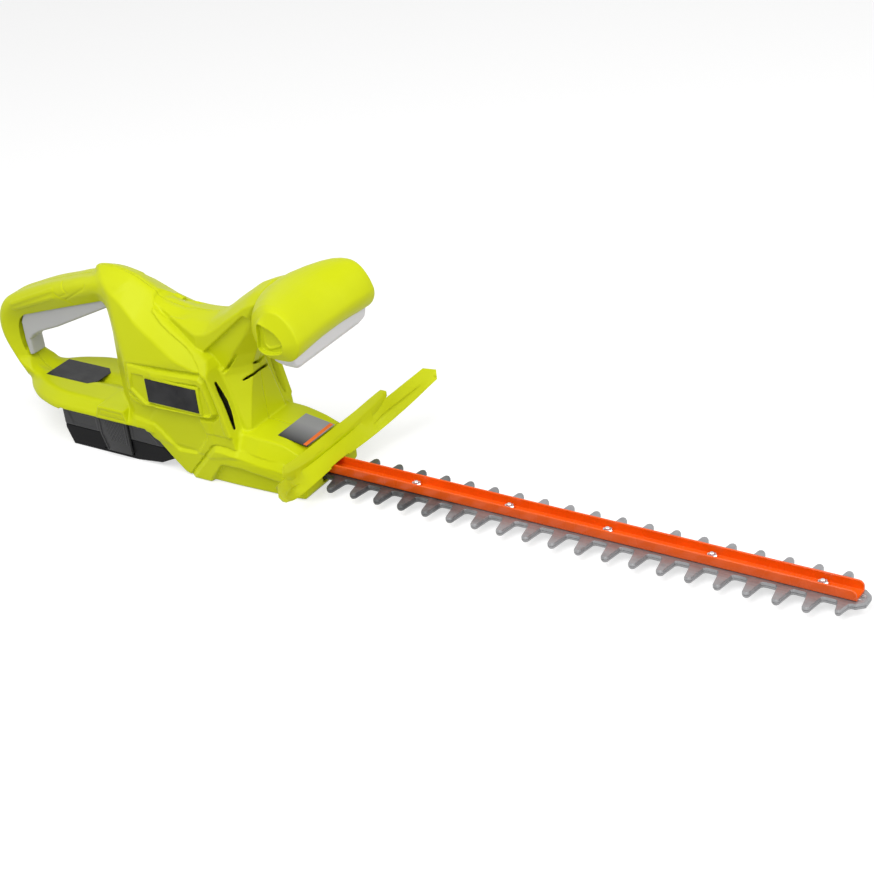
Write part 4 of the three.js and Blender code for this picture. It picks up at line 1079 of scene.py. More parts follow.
class Tree:
    """A Geometry Nodes tree under construction, with named inputs."""

    def __init__(self, name):
        self.group = bpy.data.node_groups.new(name, "GeometryNodeTree")
        self.group.interface.new_socket("Geometry", in_out="INPUT", socket_type="NodeSocketGeometry")
        self.group.interface.new_socket("Geometry", in_out="OUTPUT", socket_type="NodeSocketGeometry")
        self.entry = self.group.nodes.new("NodeGroupInput")
        self.exit = self.group.nodes.new("NodeGroupOutput")
        self.values = {}

    def ask(self, name, kind, value):
        """A named input: its socket on the tree's entry node."""
        socket = self.group.interface.new_socket(name, in_out="INPUT", socket_type="NodeSocket" + kind)
        self.values[socket.identifier] = value
        return self.entry.outputs[name]

    def add(self, kind, **settings):
        node = self.group.nodes.new(kind)
        for key, value in settings.items():
            setattr(node, key, value)
        return node

    def link(self, source, target):
        self.group.links.new(source, target)

    def add_copies(self, points, pattern, scale=None):
        """Copies of the pattern at the points, together with what the tree was given."""
        shape = self.add("GeometryNodeObjectInfo", transform_space="ORIGINAL")
        copies = self.add("GeometryNodeInstanceOnPoints")
        both = self.add("GeometryNodeJoinGeometry")
        self.link(self.ask("Pattern", "Object", pattern), shape.inputs["Object"])
        self.link(points, copies.inputs["Points"])
        self.link(shape.outputs["Geometry"], copies.inputs["Instance"])
        if scale:
            self.link(scale, copies.inputs["Scale"])
        self.link(copies.outputs[0], both.inputs[0])
        self.link(self.entry.outputs["Geometry"], both.inputs[0])
        return both.outputs[0]

    def close(self, source, material):
        """Ends the tree: real geometry with its material."""
        real = self.add("GeometryNodeRealizeInstances")
        paint = self.add("GeometryNodeSetMaterial")
        self.link(source, real.inputs[0])
        self.link(real.outputs[0], paint.inputs["Geometry"])
        self.link(self.ask("Material", "Material", material), paint.inputs["Material"])
        self.link(paint.outputs[0], self.exit.inputs[0])

    def run(self, body):
        """The evaluated tree on the piece, as a plain mesh."""
        modifier = body.modifiers.new(self.group.name, "NODES")
        modifier.node_group = self.group
        for identifier, value in self.values.items():
            modifier[identifier] = value
        return bake(body)


def row_tree(name, pattern, count, spacing, material, merge=False):
    """A tree that adds a row of copies of the pattern along x to the piece it is on."""
    tree = Tree(name)
    line = tree.add("GeometryNodeMeshLine", mode="OFFSET")
    step = tree.add("ShaderNodeCombineXYZ")
    tree.link(tree.ask("Count", "Int", count), line.inputs["Count"])
    tree.link(tree.ask("Spacing", "Float", spacing * MM), step.inputs["X"])
    tree.link(step.outputs[0], line.inputs["Offset"])
    last = tree.add_copies(line.outputs[0], pattern)
    if merge:
        real = tree.add("GeometryNodeRealizeInstances")
        weld = tree.add("GeometryNodeMergeByDistance")
        tree.link(last, real.inputs[0])
        tree.link(real.outputs[0], weld.inputs["Geometry"])
        tree.link(tree.ask("Weld distance", "Float", 0.02 * MM), weld.inputs["Distance"])
        last = weld.outputs[0]
    tree.close(last, material)
    return tree


def scatter_tree(name, pattern, places, material):
    """A tree that adds a copy of the pattern at each of the places."""
    tree = Tree(name)
    spots = tree.add("GeometryNodeObjectInfo", transform_space="ORIGINAL")
    tree.link(tree.ask("Places", "Object", places), spots.inputs["Object"])
    scale = tree.ask("Copy scale", "Float", 1.0)
    tree.close(tree.add_copies(spots.outputs["Geometry"], pattern, scale), material)
    return tree


def pattern_at_origin(name, points, faces, sharp=35):
    """A pattern for copies: its own millimetres, centred on the world's origin."""
    mesh = bpy.data.meshes.new(name)
    mesh.from_pydata((np.asarray(points) * MM).tolist(), [], [tuple(f) for f in faces])
    tidy(mesh)
    mesh.set_sharp_from_angle(angle=math.radians(sharp))
    return placed(name, mesh)


# ---------- Cutting bar ----------

TOOTH_PITCH = 22.0
TEETH = 19
STRIP_HALF = 10.0
BLADE_GAP, BLADE_THICK, BAR_HALF = 0.15, 2.2, 2.65
GEAR_X = -108 + 1.25 * 45 / 2
HALF_STROKE = 5.5
CAM_RADIUS, CAM_GAP, YOKE_RIM = 11, 0.5, 5
BOLT_FIRST, BOLT_SPACING, BOLTS = 65.4, 83.1, 5
BOLT_PLACES = [BOLT_FIRST + BOLT_SPACING * i for i in range(BOLTS)]


def tooth_outline(x, reach, root, tip):
    """One tooth from valley to valley on the +y side, with filleted roots and a round tip."""
    half_root, half_tip = root / 2, tip / 2
    side = [(-half_root - 2.4, STRIP_HALF), (-half_root - 1.0, STRIP_HALF + 0.25),
            (-half_root + 0.1, STRIP_HALF + 1.2)]
    lean = reach - 3 - STRIP_HALF - 1.2
    taper = half_root - 0.1 - half_tip
    for share in (0.35, 0.7):
        side.append((-half_root + 0.1 + taper * share, STRIP_HALF + 1.2 + lean * share))
    centre = reach - half_tip * 0.96
    arc = [(half_tip * math.cos(a), centre + half_tip * 0.96 * math.sin(a))
           for a in np.linspace(math.pi * 0.98, math.pi / 2, 6)]
    left = side + arc
    return [(x + px, py) for px, py in left + [(-px, py) for px, py in left[-2::-1]]]


def plate_parts(right, left, flat_z, ground_z, caps=(True, True), bevel=0.6, land=1.5):
    """A flat bar between two edge lines, its ground side bevelled: both lines run towards +x."""
    def inset(line, side):
        line = np.array(line, float)
        along = np.gradient(line, axis=0)
        normal = np.stack([-along[:, 1], along[:, 0]], 1) * side
        normal /= np.linalg.norm(normal, axis=1)[:, None]
        amount = np.clip((np.abs(line[:, 1]) - STRIP_HALF) * 4 + 1, 0.6, 1) * bevel
        return line + normal * amount[:, None]

    land_z = flat_z + (ground_z - flat_z) * (1 - land / abs(ground_z - flat_z) * 0.9)
    layers = []
    for side, line in ((1, right), (-1, left)):
        inner = inset(line, side)
        edges = ((line, flat_z), (line, land_z), (inner, ground_z))
        layers.append([[(*p, z) for p in edge] for edge, z in edges])
    points, faces = [], []
    index = []
    for rows in layers:
        index.append([])
        for row in rows:
            index[-1].append(list(range(len(points), len(points) + len(row))))
            points += row
    for rows in index:
        for a, b in zip(rows, rows[1:]):
            faces += [(a[i], a[i + 1], b[i + 1], b[i]) for i in range(len(a) - 1)]
    for k in (0, 2):
        faces.append(tuple(index[0][k] + index[1][k][::-1]))
    for end, wanted in ((0, caps[0]), (-1, caps[1])):
        if wanted:
            faces.append(tuple([row[end] for row in index[0]] + [row[end] for row in index[1][::-1]]))
    return points, faces


def blade(name, sizes, flat_z, ground_z):
    """One toothed blade: a row of pitch lengths between its yoke and its end, with the slots cut."""
    half = TOOTH_PITCH / 2
    reach, root, tip = sizes.tooth_reach / MM, sizes.tooth_root / MM, sizes.tooth_tip / MM
    tooth = tooth_outline(0, reach, root, tip)
    mirror = [(x, -y) for x, y in tooth]
    right = [(-half, -STRIP_HALF), *mirror, (half, -STRIP_HALF)]
    left = [(0, STRIP_HALF), *[(x + half, y) for x, y in tooth], (TOOTH_PITCH, STRIP_HALF)]
    segment = pattern_at_origin("pitch_length", *plate_parts(right, left, flat_z, ground_z, (False, False)))
    segment.data.transform(Matrix.Translation(ORIGIN))
    yoke_half = CAM_RADIUS + CAM_GAP + YOKE_RIM
    yoke_y = HALF_STROKE + yoke_half
    yoke = [(GEAR_X - yoke_half, yoke_y), (GEAR_X + yoke_half, yoke_y), (GEAR_X + yoke_half + 8, STRIP_HALF)]
    tail = plate_parts([(x, -y) for x, y in yoke] + [(-half, -STRIP_HALF)], yoke + [(0, STRIP_HALF)],
                       flat_z, ground_z, (True, False))
    last = (TEETH - 1) * TOOTH_PITCH
    short_tooth = tooth_outline(last + TOOTH_PITCH - 1, sizes.end_reach / MM, root - 2, tip - 1.5)
    corner = [(BLADE_END - 5.5, STRIP_HALF), (BLADE_END, STRIP_HALF - 5)]
    end_right = [(last + half, -STRIP_HALF), *[(x, -y) for x, y in short_tooth + corner]]
    end = plate_parts(end_right, [(last + TOOTH_PITCH, STRIP_HALF), *corner], flat_z, ground_z, (False, True))
    body = write_mesh(name, *gathered(tail, end))
    row_tree("Toothed bar", segment, TEETH, TOOTH_PITCH, finish_for("blade_steel"), merge=True).run(body)
    bpy.data.objects.remove(segment)
    tidy(body.data)
    low, high = min(flat_z, ground_z) - 1, max(flat_z, ground_z) + 1
    slots = [stadium(x, HALF_STROKE, 2.5, low, high) for x in BOLT_PLACES]
    slots.append(stadium(BLADE_END - 7.5, 2.2, 3.4, low, high))
    room_x, room_y = CAM_RADIUS + 0.23 * HALF_STROKE + CAM_GAP, CAM_RADIUS + HALF_STROKE + CAM_GAP
    slots.append(box_parts(GEAR_X - room_x, GEAR_X + room_x, -room_y, room_y, low, high))
    combine(body, solid("slots", *gathered(*slots)))
    body.data.set_sharp_from_angle(angle=math.radians(24))
    return body


def channel(name, sizes):
    """The pressed steel channel over the blades, with rounded corners at its free end."""
    x0, x1 = GEAR_X + 25, BLADE_END - 6
    half, wall, floor_z, top_z = 7.5, 1.5, BAR_HALF, 11.05
    corner = sizes.channel_corner / MM

    def ring(x, top):
        outer = [(-half, top - 0.35), (-half, floor_z + 1.6), (-half + 0.45, floor_z + 0.5),
                 (-half + 1.5, floor_z)]
        inner = [(-half + wall + 1.1, floor_z + wall), (-half + wall + 0.3, floor_z + wall + 0.35),
                 (-half + wall, floor_z + wall + 1.2), (-half + wall, top - 0.35), (-half + wall - 0.35, top),
                 (-half + 0.35, top)]
        right = outer + [(0, floor_z)]
        left = [(-y, z) for y, z in outer[::-1]]
        back = [(-y, z) for y, z in inner[::-1]]
        return [(x, y, z) for y, z in right + left + back + [(0, floor_z + wall)] + inner]

    stations = [(x0, top_z)] + [(x0 + 60 + (x1 - corner - x0 - 60) * i / 8, top_z) for i in range(9)]
    stations += [(x1 - corner + corner * math.sin(a), top_z - corner * (1 - math.cos(a)))
                 for a in np.linspace(0.2, math.pi / 2 * 0.93, 6)]
    body = solid(name, *loft_parts([ring(x, top) for x, top in stations]))
    holes = [lathe_parts([(0, 1), (2.3, 1), (2.3, 6), (0, 6)], 16, (x, 0, 0)) for x in BOLT_PLACES]
    combine(body, solid("holes", *gathered(*holes)))
    body.data.set_sharp_from_angle(angle=math.radians(40))
    return body


def bolt_pattern():
    """A bolt up through the bar, its flanged nut and the bolt's domed end."""
    head = -BAR_HALF
    section = [(0, head - 1.8), (2.9, head - 1.8), (3.7, head - 1.35), (4.0, head - 0.7), (4.0, head),
               (2, head), (2, 8.6), (1.85, 8.95), (1.5, 9.3), (0.9, 9.5), (0, 9.55)]
    nut_low, nut_high = 4.45, 7.85
    flat, bore = 3.5 / math.cos(math.pi / 6), 2.3
    faces_out = [(flat * 0.9, nut_low), (flat, nut_low + 0.35), (flat, nut_high - 0.6),
                 (flat * 0.86, nut_high), (bore + 0.35, nut_high), (bore, nut_high - 0.35), (bore, nut_low)]
    points, faces = [], []
    for radius, height in faces_out:
        for i in range(12):
            a = math.tau * i / 12
            r = radius
            if radius > bore + 0.4:
                r *= math.cos(math.pi / 6) / math.cos((a % (math.pi / 3)) - math.pi / 6)
            points.append((r * math.cos(a), r * math.sin(a), height))
    size = len(faces_out)
    for k in range(size):
        for i in range(12):
            j = (i + 1) % 12
            a, b = k * 12, ((k + 1) % size) * 12
            faces.append((a + i, a + j, b + j, b + i))
    return gathered(lathe_parts(section, 20), (points, faces))


# ---------- Battery pack, trigger and lever ----------

LATCH_X = (-222, -190)
LATCH_BACK, LATCH_FACE = 37.1, 39.6
STUD_TOP_Z = 22.6
PACK_HALF, PACK_JOINT_Z = 38, 10
STEM_X, STEM_LENGTH, STEM_HALF, STEM_TOP, STEM_WALL = -182.5, 35, 18, 64, 2
PACK_PANELS = [[(-255, 22.5), (-226, 22.5), (-226, 12.5), (-252, 12.5)],
               [(-186, 22.5), (-170.5, 22.5), (-162, 12.5), (-186, 12.5)]]


def pack_shapes(step):
    """The pack's outer shell and its stem, cut at the joint between its two halves."""
    block = Block((-265, -1.5 * step, -11), (-142, 40, 66), step)
    x, w, z = block.x, block.y, block.z
    outline = outline_distance(PACK_OUTLINE, x, z)
    side = w - PACK_HALF
    below = PACK_JOINT_Z - z
    flank = side + 0.055 * np.maximum(below, 0) + 0.5 * smooth_step(below, -0.3, 0.3)
    corner = (outline + side + 1.6) / 1.414
    outer = soft_both(round_both(outline, flank, 0.8), corner, 0.4)
    outer = less(outer, all_of(np.abs(below) - 0.35, -outer - 0.5))
    panel = any_of(*(outline_distance(points, x, z) for points in PACK_PANELS))
    outer = less(outer, all_of(panel, PACK_HALF - 0.7 - w))
    shell = less(outer, all_of(outline, side) + 2.2)
    along = np.abs(x - sum(LATCH_X) / 2)
    back = all_of(along - 18.5, np.abs(w - 33.8) - 1, outline, -4.8 - z)
    lean = -((x - LATCH_X[0]) - 0.38 * (12 - z) + 1.2) / 1.07
    pocket = all_of(along - 16.3, 34.8 - w, np.abs(z - 10.4) - 15.6, np.where(w > 36.6, lean, -9))
    shell = less(any_of(shell, back), pocket)
    around = all_of(np.abs(x - STEM_X) - STEM_LENGTH / 2, w - STEM_HALF)
    stem = round_both(around, all_of(z - STEM_TOP, 23 - z), 1.2)
    room = all_of(around + STEM_WALL, z - STEM_TOP + STEM_WALL, PACK_JOINT_Z - z)
    shell = less(any_of(shell, stem), room)
    return block, *(all_of(shell, side * (z - PACK_JOINT_Z) + 0.15) for side in (1, -1))


def both_sides(field, block):
    """The block over the whole width and its field, from the half at w >= 0."""
    keep = block.y.ravel() > -1e-6
    half = field[:, keep, :]
    values = block.y.ravel()[keep]
    full = copy.copy(block)
    full.low = np.array([block.low[0], -values[-1], block.low[2]])
    full.y = np.concatenate([-values[:0:-1], values]).reshape(1, -1, 1)
    return full, np.concatenate([half[:, :0:-1, :], half], 1)


def trigger_shape(step):
    """The rear trigger with its pivot's lug."""
    block = Block((-325, -9, 50), (-211, 9, 130), step)
    x, w, z = block.x, np.abs(block.y), block.z
    outline = outline_distance(TRIGGER_OUTLINE, x, z)
    lever = round_both(outline, w - TRIGGER_HALF, 2.2)
    reach = spot_distance(TRIGGER_PIVOT, x, z)
    lug = round_both(reach - LUG_RADIUS, w - TRIGGER_HALF, 0.8)
    return block, all_of(any_of(lever, lug), PIN_RADIUS + 0.3 - reach)


def lever_shape(step):
    """The lever under the front handle."""
    block = Block((-19, -49, 111), (7, 49, 136), step)
    x, w, z = block.x, np.abs(block.y), block.z
    outline = outline_distance(PADDLE_OUTLINE, x, z)
    ends = soft_both(w - PADDLE_HALF, (w + 0.8 * (121 - z) - PADDLE_HALF) / 1.28, 3)
    return block, round_both(round_both(outline, ends, 3), outline + 0.2, 1.2)


def latch_plate(name, side):
    """One latch: a plate that narrows downwards, with raised edges beside its grip."""
    x0, x1 = LATCH_X
    outline = [(x0 + 0.3, 25.1), (x1 - 0.3, 25.1), (x1 - 0.3, -4.3), (x0 + 5.5, -4.3), (x0 + 0.5, 10)]
    rims = [[(x0 + 1.2, 24.6), (x0 + 2.8, 24.6), (x0 + 3.0, 10.2), (x0 + 7.4, -3), (x0 + 5.9, -3.4),
             (x0 + 1.4, 9.9)],
            [(x1 - 4.0, 24.6), (x1 - 2.2, 24.6), (x1 - 2.2, 5), (x1 - 4.0, 5)]]
    body = eased(solid(name, *slab(outline, LATCH_BACK, LATCH_FACE, side)), 0.6)
    ridges = [slab(rim, LATCH_FACE - 0.5, LATCH_FACE + 0.45, side) for rim in rims]
    return joined(body, eased(solid(name + "_ridges", *gathered(*ridges)), 0.3))


def joined(body, other):
    """Adds the other piece's mesh to this one and removes it."""
    work = bmesh.new()
    for piece in (body, other):
        work.from_mesh(piece.data)
    work.to_mesh(body.data)
    work.free()
    bpy.data.objects.remove(other)
    return body


def knurl_spots(side):
    """A quincunx of points over the latch's grip."""
    spots = []
    for row in range(9):
        drop = row * 2.05
        left = LATCH_X[0] + 5.6 + 0.34 * drop
        for column in range(12):
            x = LATCH_X[1] - 5.4 - column * 3.0 - (row % 2) * 1.5
            if x > left:
                spots.append((x, side * (LATCH_FACE - 0.05), STUD_TOP_Z - drop))
    return spots


# ---------- Sizes and colours that a user would change ----------

def length(name, description, default, low=0.0):
    """A length's property, its numbers in millimetres."""
    return FloatProperty(name=name, description=description, default=default * MM, min=low * MM,
                         unit="LENGTH")


def colour(name, description, default):
    """A base colour's property."""
    return FloatVectorProperty(name=name, description=description, default=default, size=3, min=0, max=1,
                               subtype="COLOR")


class TrimmerSizes(bpy.types.PropertyGroup):
    """How finely the pieces are made, and the sizes of what repeats."""

    body_step: length("Body grain", "Distance between the samples that the housing is made from", 0.7, 0.4)
    fine_step: length("Fine grain", "Distance between the samples of the smaller mouldings", 0.62, 0.3)
    tooth_reach: length("Tooth reach", "Distance of the tooth tips from the bar's middle", 26.6)
    tooth_root: length("Tooth root", "Width of a tooth where it meets the bar", 11.0)
    tooth_tip: length("Tooth tip", "Width of a tooth at its round tip", 6.2)
    end_reach: length("End tooth reach", "Reach of the short tooth at the bar's end", 21.3)
    channel_corner: length("Channel corner", "Radius of the channel's corners at its free end", 4.0)
    stud: length("Stud", "Radius of the studs on the latches", 1.25)


class TrimmerColours(bpy.types.PropertyGroup):
    """The finishes' base colours."""

    housing: colour("Housing", "Lime-yellow moulded plastic", (0.60, 0.66, 0.001))
    trigger: colour("Trigger", "Mid-grey plastic", (0.5, 0.5, 0.51))
    paddle: colour("Lever", "Light-grey plastic", (0.74, 0.74, 0.75))
    pack_upper: colour("Pack upper", "Dark-grey plastic", (0.034, 0.034, 0.036))
    pack_lower: colour("Pack lower", "Black plastic", (0.005, 0.005, 0.006))
    plate: colour("Name plates", "Bare black plates", (0.010, 0.010, 0.012))
    channel: colour("Channel", "Orange-red enamel", (0.88, 0.11, 0.003))
    blade: colour("Blades", "Ground steel", (0.36, 0.36, 0.37))


class TrimmerStudio(bpy.types.PropertyGroup):
    """The floor and the light."""

    key: FloatProperty(name="Key", description="Strength of the overhead softbox", default=20.0, min=0)
    fill: FloatProperty(name="Fill", description="Strength of the side fill", default=7.6, min=0)
    sky: FloatProperty(name="Sky", description="Strength of the even light all round", default=0.3, min=0)
    floor: colour("Floor", "Pale floor", (0.5, 0.5, 0.5))


# ---------- Operators ----------

def sampling(size, full):
    return size / MM * full


class TRIMMER_OT_body(bpy.types.Operator):
    """Make the two housing halves with their screws"""

    bl_idname = "trimmer.body"
    bl_label = "Housing"

    def execute(self, context):
        step = sampling(context.scene.trimmer_sizes.body_step, 1)
        block, plain, screwed = body_halves(step)
        for side, field in (("right", plain), ("left", screwed)):
            half = moulding("body_" + side, block, field, HOUSING_MOST, side == "right", PARTING)
            settled_in(half, "lime", "tool", "housing_" + side)
        section = [(0, -21.5), (1.2, -21.2), (1.65, -20), (1.65, 0.3), (3.25, 0.35), (3.3, 0.8), (3.15, 1.7),
                   (2.4, 2.35), (1.5, 2.62), (0, 2.66)]
        screw = pattern_at_origin("screw", *lathe_parts(section, 18, axis="Y"))
        cross = [box_parts(-1.5, 1.5, 1.0, 4, -0.35, 0.35), box_parts(-0.35, 0.35, 1.0, 4, -1.5, 1.5)]
        for part in cross:
            combine(screw, pattern_at_origin("cross", *part))
        spots = point_cloud("screw_spots", [(x, BORE_START + 0.35, z) for x, z in SCREW_SPOTS])
        body = placed("body_screws", bpy.data.meshes.new("body_screws"))
        scatter_tree("Screws", screw, spots, finish_for("zinc")).run(body)
        for helper in (screw, spots):
            bpy.data.objects.remove(helper)
        settled_in(body, "zinc", "tool", *[f"housing_screw_{i}" for i in range(1, 7)])
        return {"FINISHED"}


class TRIMMER_OT_handles(bpy.types.Operator):
    """Make the front handle, its lever and the rear trigger"""

    bl_idname = "trimmer.handles"
    bl_label = "Handle, lever and trigger"

    def execute(self, context):
        step = sampling(context.scene.trimmer_sizes.fine_step, 1)
        block = Block((-60, -56, 119), (16, 56, 169), step)
        handle = moulding("handle_front", block, handle_field(block), HANDLE_MOST)
        settled_in(handle, "lime", "tool", "front_handle")
        lever = moulding("lever_front", *lever_shape(step), SMALL_MOST)
        settled_in(lever, "paddle_grey", "paddle", "front_paddle")
        trigger = moulding("trigger_rear", *trigger_shape(step * 0.9), SMALL_MOST)
        settled_in(trigger, "trigger_grey", "trigger", "rear_trigger")
        ends = [(0, 9.4), (PIN_RADIUS - 0.3, 9.4), (PIN_RADIUS, 9.1)]
        pin = lathe_parts([(r, -h) for r, h in ends] + ends[::-1], 20,
                          (TRIGGER_PIVOT[0], 0, TRIGGER_PIVOT[1]), "Y")
        settled_in(solid("pin_trigger", *pin), "steel", "tool", "trigger_pin")
        return {"FINISHED"}


class TRIMMER_OT_guard(bpy.types.Operator):
    """Make the hand guard"""

    bl_idname = "trimmer.guard"
    bl_label = "Guard"

    def execute(self, context):
        step = sampling(context.scene.trimmer_sizes.fine_step, 1.6)
        guard = eased(solid("guard", *loft_parts(across(wing_ring, 40))), 0.55, angle=26)
        shelf = eased(solid("shelf", *loft_parts(across(shelf_ring, 28))), 0.7, angle=26)
        combine(guard, shelf, "UNION")
        combine(guard, moulding("nose", *nose_cutter(step), SMALL_MOST))
        combine(guard, solid("mouth", *box_parts(-40, 10, -MOUTH_HALF, MOUTH_HALF, -10, MOUTH_TOP)))
        guard.data.set_sharp_from_angle(angle=math.radians(30))
        settled_in(guard, "lime", "tool", "hand_guard")
        return {"FINISHED"}


class TRIMMER_OT_bar(bpy.types.Operator):
    """Make the two blades, the channel and its bolts"""

    bl_idname = "trimmer.bar"
    bl_label = "Cutting bar"

    def execute(self, context):
        sizes = context.scene.trimmer_sizes
        for name, side in (("upper", 1), ("lower", -1)):
            body = blade("bar_" + name, sizes, side * BLADE_GAP, side * (BLADE_GAP + BLADE_THICK))
            settled_in(body, "blade_steel", name + "_blade", name + "_blade")
        settled_in(channel("bar_channel", sizes), "orange_steel", "tool", "blade_support")
        pattern = pattern_at_origin("bolt", *bolt_pattern())
        pattern.data.transform(Matrix.Translation(ORIGIN + Vector((BOLT_FIRST * MM, 0, 0))))
        bolts = placed("bar_bolts", bpy.data.meshes.new("bar_bolts"))
        row_tree("Bolts and nuts", pattern, BOLTS, BOLT_SPACING, finish_for("zinc")).run(bolts)
        bpy.data.objects.remove(pattern)
        nodes = [f"blade_{kind}_{i}" for kind in ("bolt", "nut") for i in range(1, BOLTS + 1)]
        settled_in(bolts, "zinc", "tool", *nodes)
        return {"FINISHED"}


class TRIMMER_OT_pack(bpy.types.Operator):
    """Make the battery pack's shells and its two latches"""

    bl_idname = "trimmer.pack"
    bl_label = "Battery pack"

    def execute(self, context):
        sizes = context.scene.trimmer_sizes
        step = sampling(sizes.fine_step, 1.15)
        block, low, high = pack_shapes(step)
        for name, field, slot, node in (("pack_lower", low, "battery_black", "battery_base"),
                                        ("pack_upper", high, "battery_dark", "battery_top")):
            settled_in(moulding(name, *both_sides(field, block), PACK_MOST), slot, "battery", node)
        radius = sizes.stud / MM
        section = [(0, -0.5), (radius, -0.5), (radius, 0), (0.12, 0.55), (0, 0.55)]
        for name, side in (("latch_right", -1), ("latch_left", 1)):
            plate = latch_plate(name, side)
            stud = pattern_at_origin("stud", *lathe_parts(section, 4, axis="Y"))
            stud.data.transform(Matrix.Rotation(0 if side > 0 else math.pi, 4, "Z"))
            spots = point_cloud("spots", knurl_spots(side))
            scatter_tree("Knurl", stud, spots, finish_for("battery_dark")).run(plate)
            for helper in (stud, spots):
                bpy.data.objects.remove(helper)
            settled_in(plate, "battery_dark", name, "battery_" + name)
        return {"FINISHED"}


class TRIMMER_OT_plates(bpy.types.Operator):
    """Make the name plates and deck labels, left bare"""

    bl_idname = "trimmer.plates"
    bl_label = "Plates and labels"

    def execute(self, context):
        for name, side in (("right", -1), ("left", 1)):
            outline = [(-156, 55.2), (-104, 55.0), (-104, 75.9), (-156, 75.9)]
            body = solid("plate_" + name, *slab(outline, 42.3, 43.3, side))
            settled_in(eased(body, 0.35, sharp=12), "label", "tool", "badge_" + name)
        half = [(-297.8, 14.4), (-251.5, 14.4), (-245.2, 8.5)]
        rear = [(x, -y) for x, y in half] + half[::-1]
        body = solid("label_rear", *prism(rear, DECK_Z - 0.2, DECK_Z + 0.25))
        settled_in(eased(body, 0.12, sharp=12), "label", "tool", "rear_label")
        front = [(-48.6, 34.55), (-21.2, 30.25), (-21.2, 30.75), (-48.6, 35.05)]
        body = solid("label_front", *slab(front, -18.6, 18.6))
        dark, pale, stripe = (0.02, 0.02, 0.022), (0.3, 0.3, 0.32), (0.85, 0.16, 0.01)
        body.data.materials.append(striped_label("finish_label_striped", dark, pale, stripe))
        settled_in(body, "label", "tool", "front_label")
        return {"FINISHED"}


class TRIMMER_OT_inside(bpy.types.Operator):
    """Give the motor, gears, cells and electrics their finishes"""

    bl_idname = "trimmer.inside"
    bl_label = "Inside parts"

    def execute(self, context):
        slots = {row["slot"] for row in frame["record"]["materials"]}
        for node, body in frame["nodes"].items():
            for material_slot in body.material_slots:
                slot = material_slot.material.name.split(".")[0]
                if slot not in slots:
                    raise RuntimeError(f"no finish for {node}")
                material_slot.material = finish_for(slot)
        return {"FINISHED"}


FLOOR_HALF, FLOOR_DROP = 6.0, 0.0002
CAMERA_LENS = 82.825
CAMERA_PLACE = (866.3506, -1054.4386, 786.2878)
CAMERA_AXES = ((0.834698671, 0.540286900, -0.106621731), (-0.188949708, 0.462825865, 0.866077495),
               (0.517277620, -0.702767589, 0.488407186))


class TRIMMER_OT_stage(bpy.types.Operator):
    """Set the floor, the soft light and the camera"""

    bl_idname = "trimmer.stage"
    bl_label = "Stage"

    def execute(self, context):
        studio = context.scene.trimmer_studio
        floor = placed("floor", bpy.data.meshes.new("floor"))
        signs = ((-1, -1), (1, -1), (1, 1), (-1, 1))
        square = [(FLOOR_HALF * x, FLOOR_HALF * y, -FLOOR_DROP) for x, y in signs]
        floor.data.from_pydata(square, [], [(0, 1, 2, 3)])
        floor.data.materials.append(floor_material(tuple(studio.floor)))
        world = bpy.data.worlds.new("studio")
        context.scene.world = world
        world.use_nodes = True
        nodes, links = world.node_tree.nodes, world.node_tree.links
        sky = nodes["Background"]
        sky.inputs["Color"].default_value = (1, 1, 1, 1)
        sky.inputs["Strength"].default_value = studio.sky
        seen = nodes.new("ShaderNodeBackground")
        seen.inputs["Color"].default_value = (1, 1, 1, 1)
        choose = nodes.new("ShaderNodeMixShader")
        links.new(seen_directly(nodes, links), choose.inputs[0])
        links.new(sky.outputs[0], choose.inputs[1])
        links.new(seen.outputs[0], choose.inputs[2])
        links.new(choose.outputs[0], nodes["World Output"].inputs[0])
        for name, energy, place, width, aim in (
            ("key", studio.key, (0.05, -0.75, 1.55), 1.2, (-0.05, 0.0, 0.05)),
            ("fill", studio.fill, (1.2, -1.8, 0.7), 1.4, (-0.1, 0.0, 0.08)),
            ("front", studio.fill * 2.2, (1.6, 0.25, 1.3), 1.2, (-0.1, 0.0, 0.08)),
            ("left", studio.fill * 0.45, (-1.7, -0.8, 0.9), 1.2, (-0.2, 0.0, 0.08)),
        ):
            lamp = placed(name, bpy.data.lights.new(name, "AREA"))
            lamp.data.energy = energy
            lamp.data.shape = "SQUARE"
            lamp.data.size = width
            lamp.location = place
            lamp.rotation_euler = (Vector(aim) - Vector(place)).to_track_quat("-Z", "Y").to_euler()
        camera = placed("camera", bpy.data.cameras.new("camera"))
        camera.data.sensor_width = 36
        camera.data.lens = CAMERA_LENS
        turn = Matrix(CAMERA_AXES).transposed().to_4x4()
        camera.matrix_world = Matrix.Translation(Vector(CAMERA_PLACE) * MM + ORIGIN) @ turn
        context.scene.camera = camera
        context.scene.view_settings.view_transform = "Standard"
        return {"FINISHED"}


def seen_directly(nodes, links):
    """1 for what the camera sees directly, in a reflection or through glass."""
    path = nodes.new("ShaderNodeLightPath")
    total = path.outputs["Is Camera Ray"]
    for name in ("Is Glossy Ray", "Is Transmission Ray"):
        both = nodes.new("ShaderNodeMath")
        both.operation = "MAXIMUM"
        links.new(total, both.inputs[0])
        links.new(path.outputs[name], both.inputs[1])
        total = both.outputs[0]
    return total


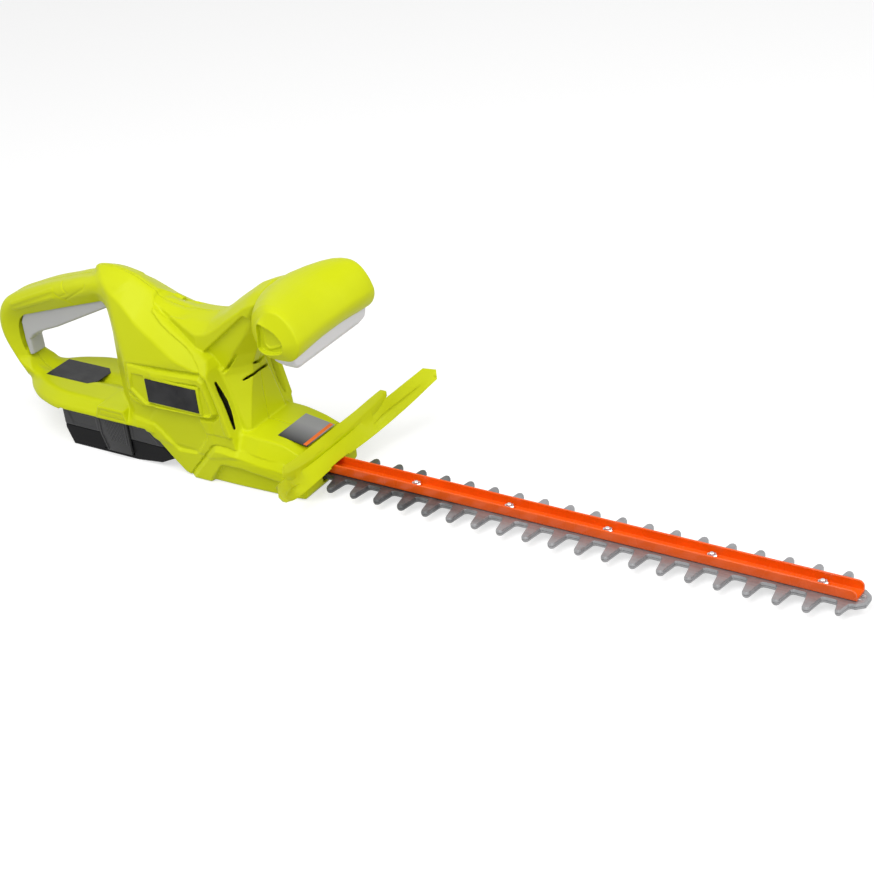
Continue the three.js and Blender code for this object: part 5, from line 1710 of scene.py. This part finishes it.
def floor_material(colour):
    """A pale floor that keeps the shadow and is white to the eye elsewhere."""
    material = bpy.data.materials.new("floor")
    material.use_nodes = True
    nodes, links = material.node_tree.nodes, material.node_tree.links
    base = nodes["Principled BSDF"]
    base.inputs["Base Color"].default_value = (*colour, 1)
    base.inputs["Roughness"].default_value = 0.9
    base.inputs["Specular IOR Level"].default_value = 0.1
    glow = nodes.new("ShaderNodeEmission")
    lift = nodes.new("ShaderNodeMath")
    lift.operation = "MULTIPLY"
    lift.inputs[1].default_value = 0.62
    links.new(seen_directly(nodes, links), lift.inputs[0])
    links.new(lift.outputs[0], glow.inputs["Strength"])
    both = nodes.new("ShaderNodeAddShader")
    links.new(base.outputs[0], both.inputs[0])
    links.new(glow.outputs[0], both.inputs[1])
    links.new(both.outputs[0], nodes["Material Output"].inputs["Surface"])
    return material


OPERATORS = (TRIMMER_OT_body, TRIMMER_OT_handles, TRIMMER_OT_guard, TRIMMER_OT_bar, TRIMMER_OT_pack,
             TRIMMER_OT_plates, TRIMMER_OT_inside, TRIMMER_OT_stage)
GROUPS = (("trimmer_sizes", TrimmerSizes), ("trimmer_colours", TrimmerColours),
          ("trimmer_studio", TrimmerStudio))


class TRIMMER_PT_panel(bpy.types.Panel):
    """The trimmer's pieces, sizes and colours"""

    bl_idname = "TRIMMER_PT_panel"
    bl_label = "Hedge Trimmer"
    bl_space_type = "VIEW_3D"
    bl_region_type = "UI"
    bl_category = "Trimmer"

    def draw(self, context):
        for operator in OPERATORS:
            self.layout.operator(operator.bl_idname)
        for attribute, group in GROUPS:
            box = self.layout.box()
            for name in group.__annotations__:
                box.prop(getattr(context.scene, attribute), name)


def register():
    for attribute, group in GROUPS:
        bpy.utils.register_class(group)
        setattr(bpy.types.Scene, attribute, PointerProperty(type=group))
    for kind in (*OPERATORS, TRIMMER_PT_panel):
        bpy.utils.register_class(kind)


def unregister():
    for kind in (TRIMMER_PT_panel, *reversed(OPERATORS)):
        bpy.utils.unregister_class(kind)
    for attribute, group in GROUPS:
        delattr(bpy.types.Scene, attribute)
        bpy.utils.unregister_class(group)


def main():
    register()
    for operator in OPERATORS:
        family, name = operator.bl_idname.split(".")
        getattr(getattr(bpy.ops, family), name)()


if __name__ == "__main__":
    main()
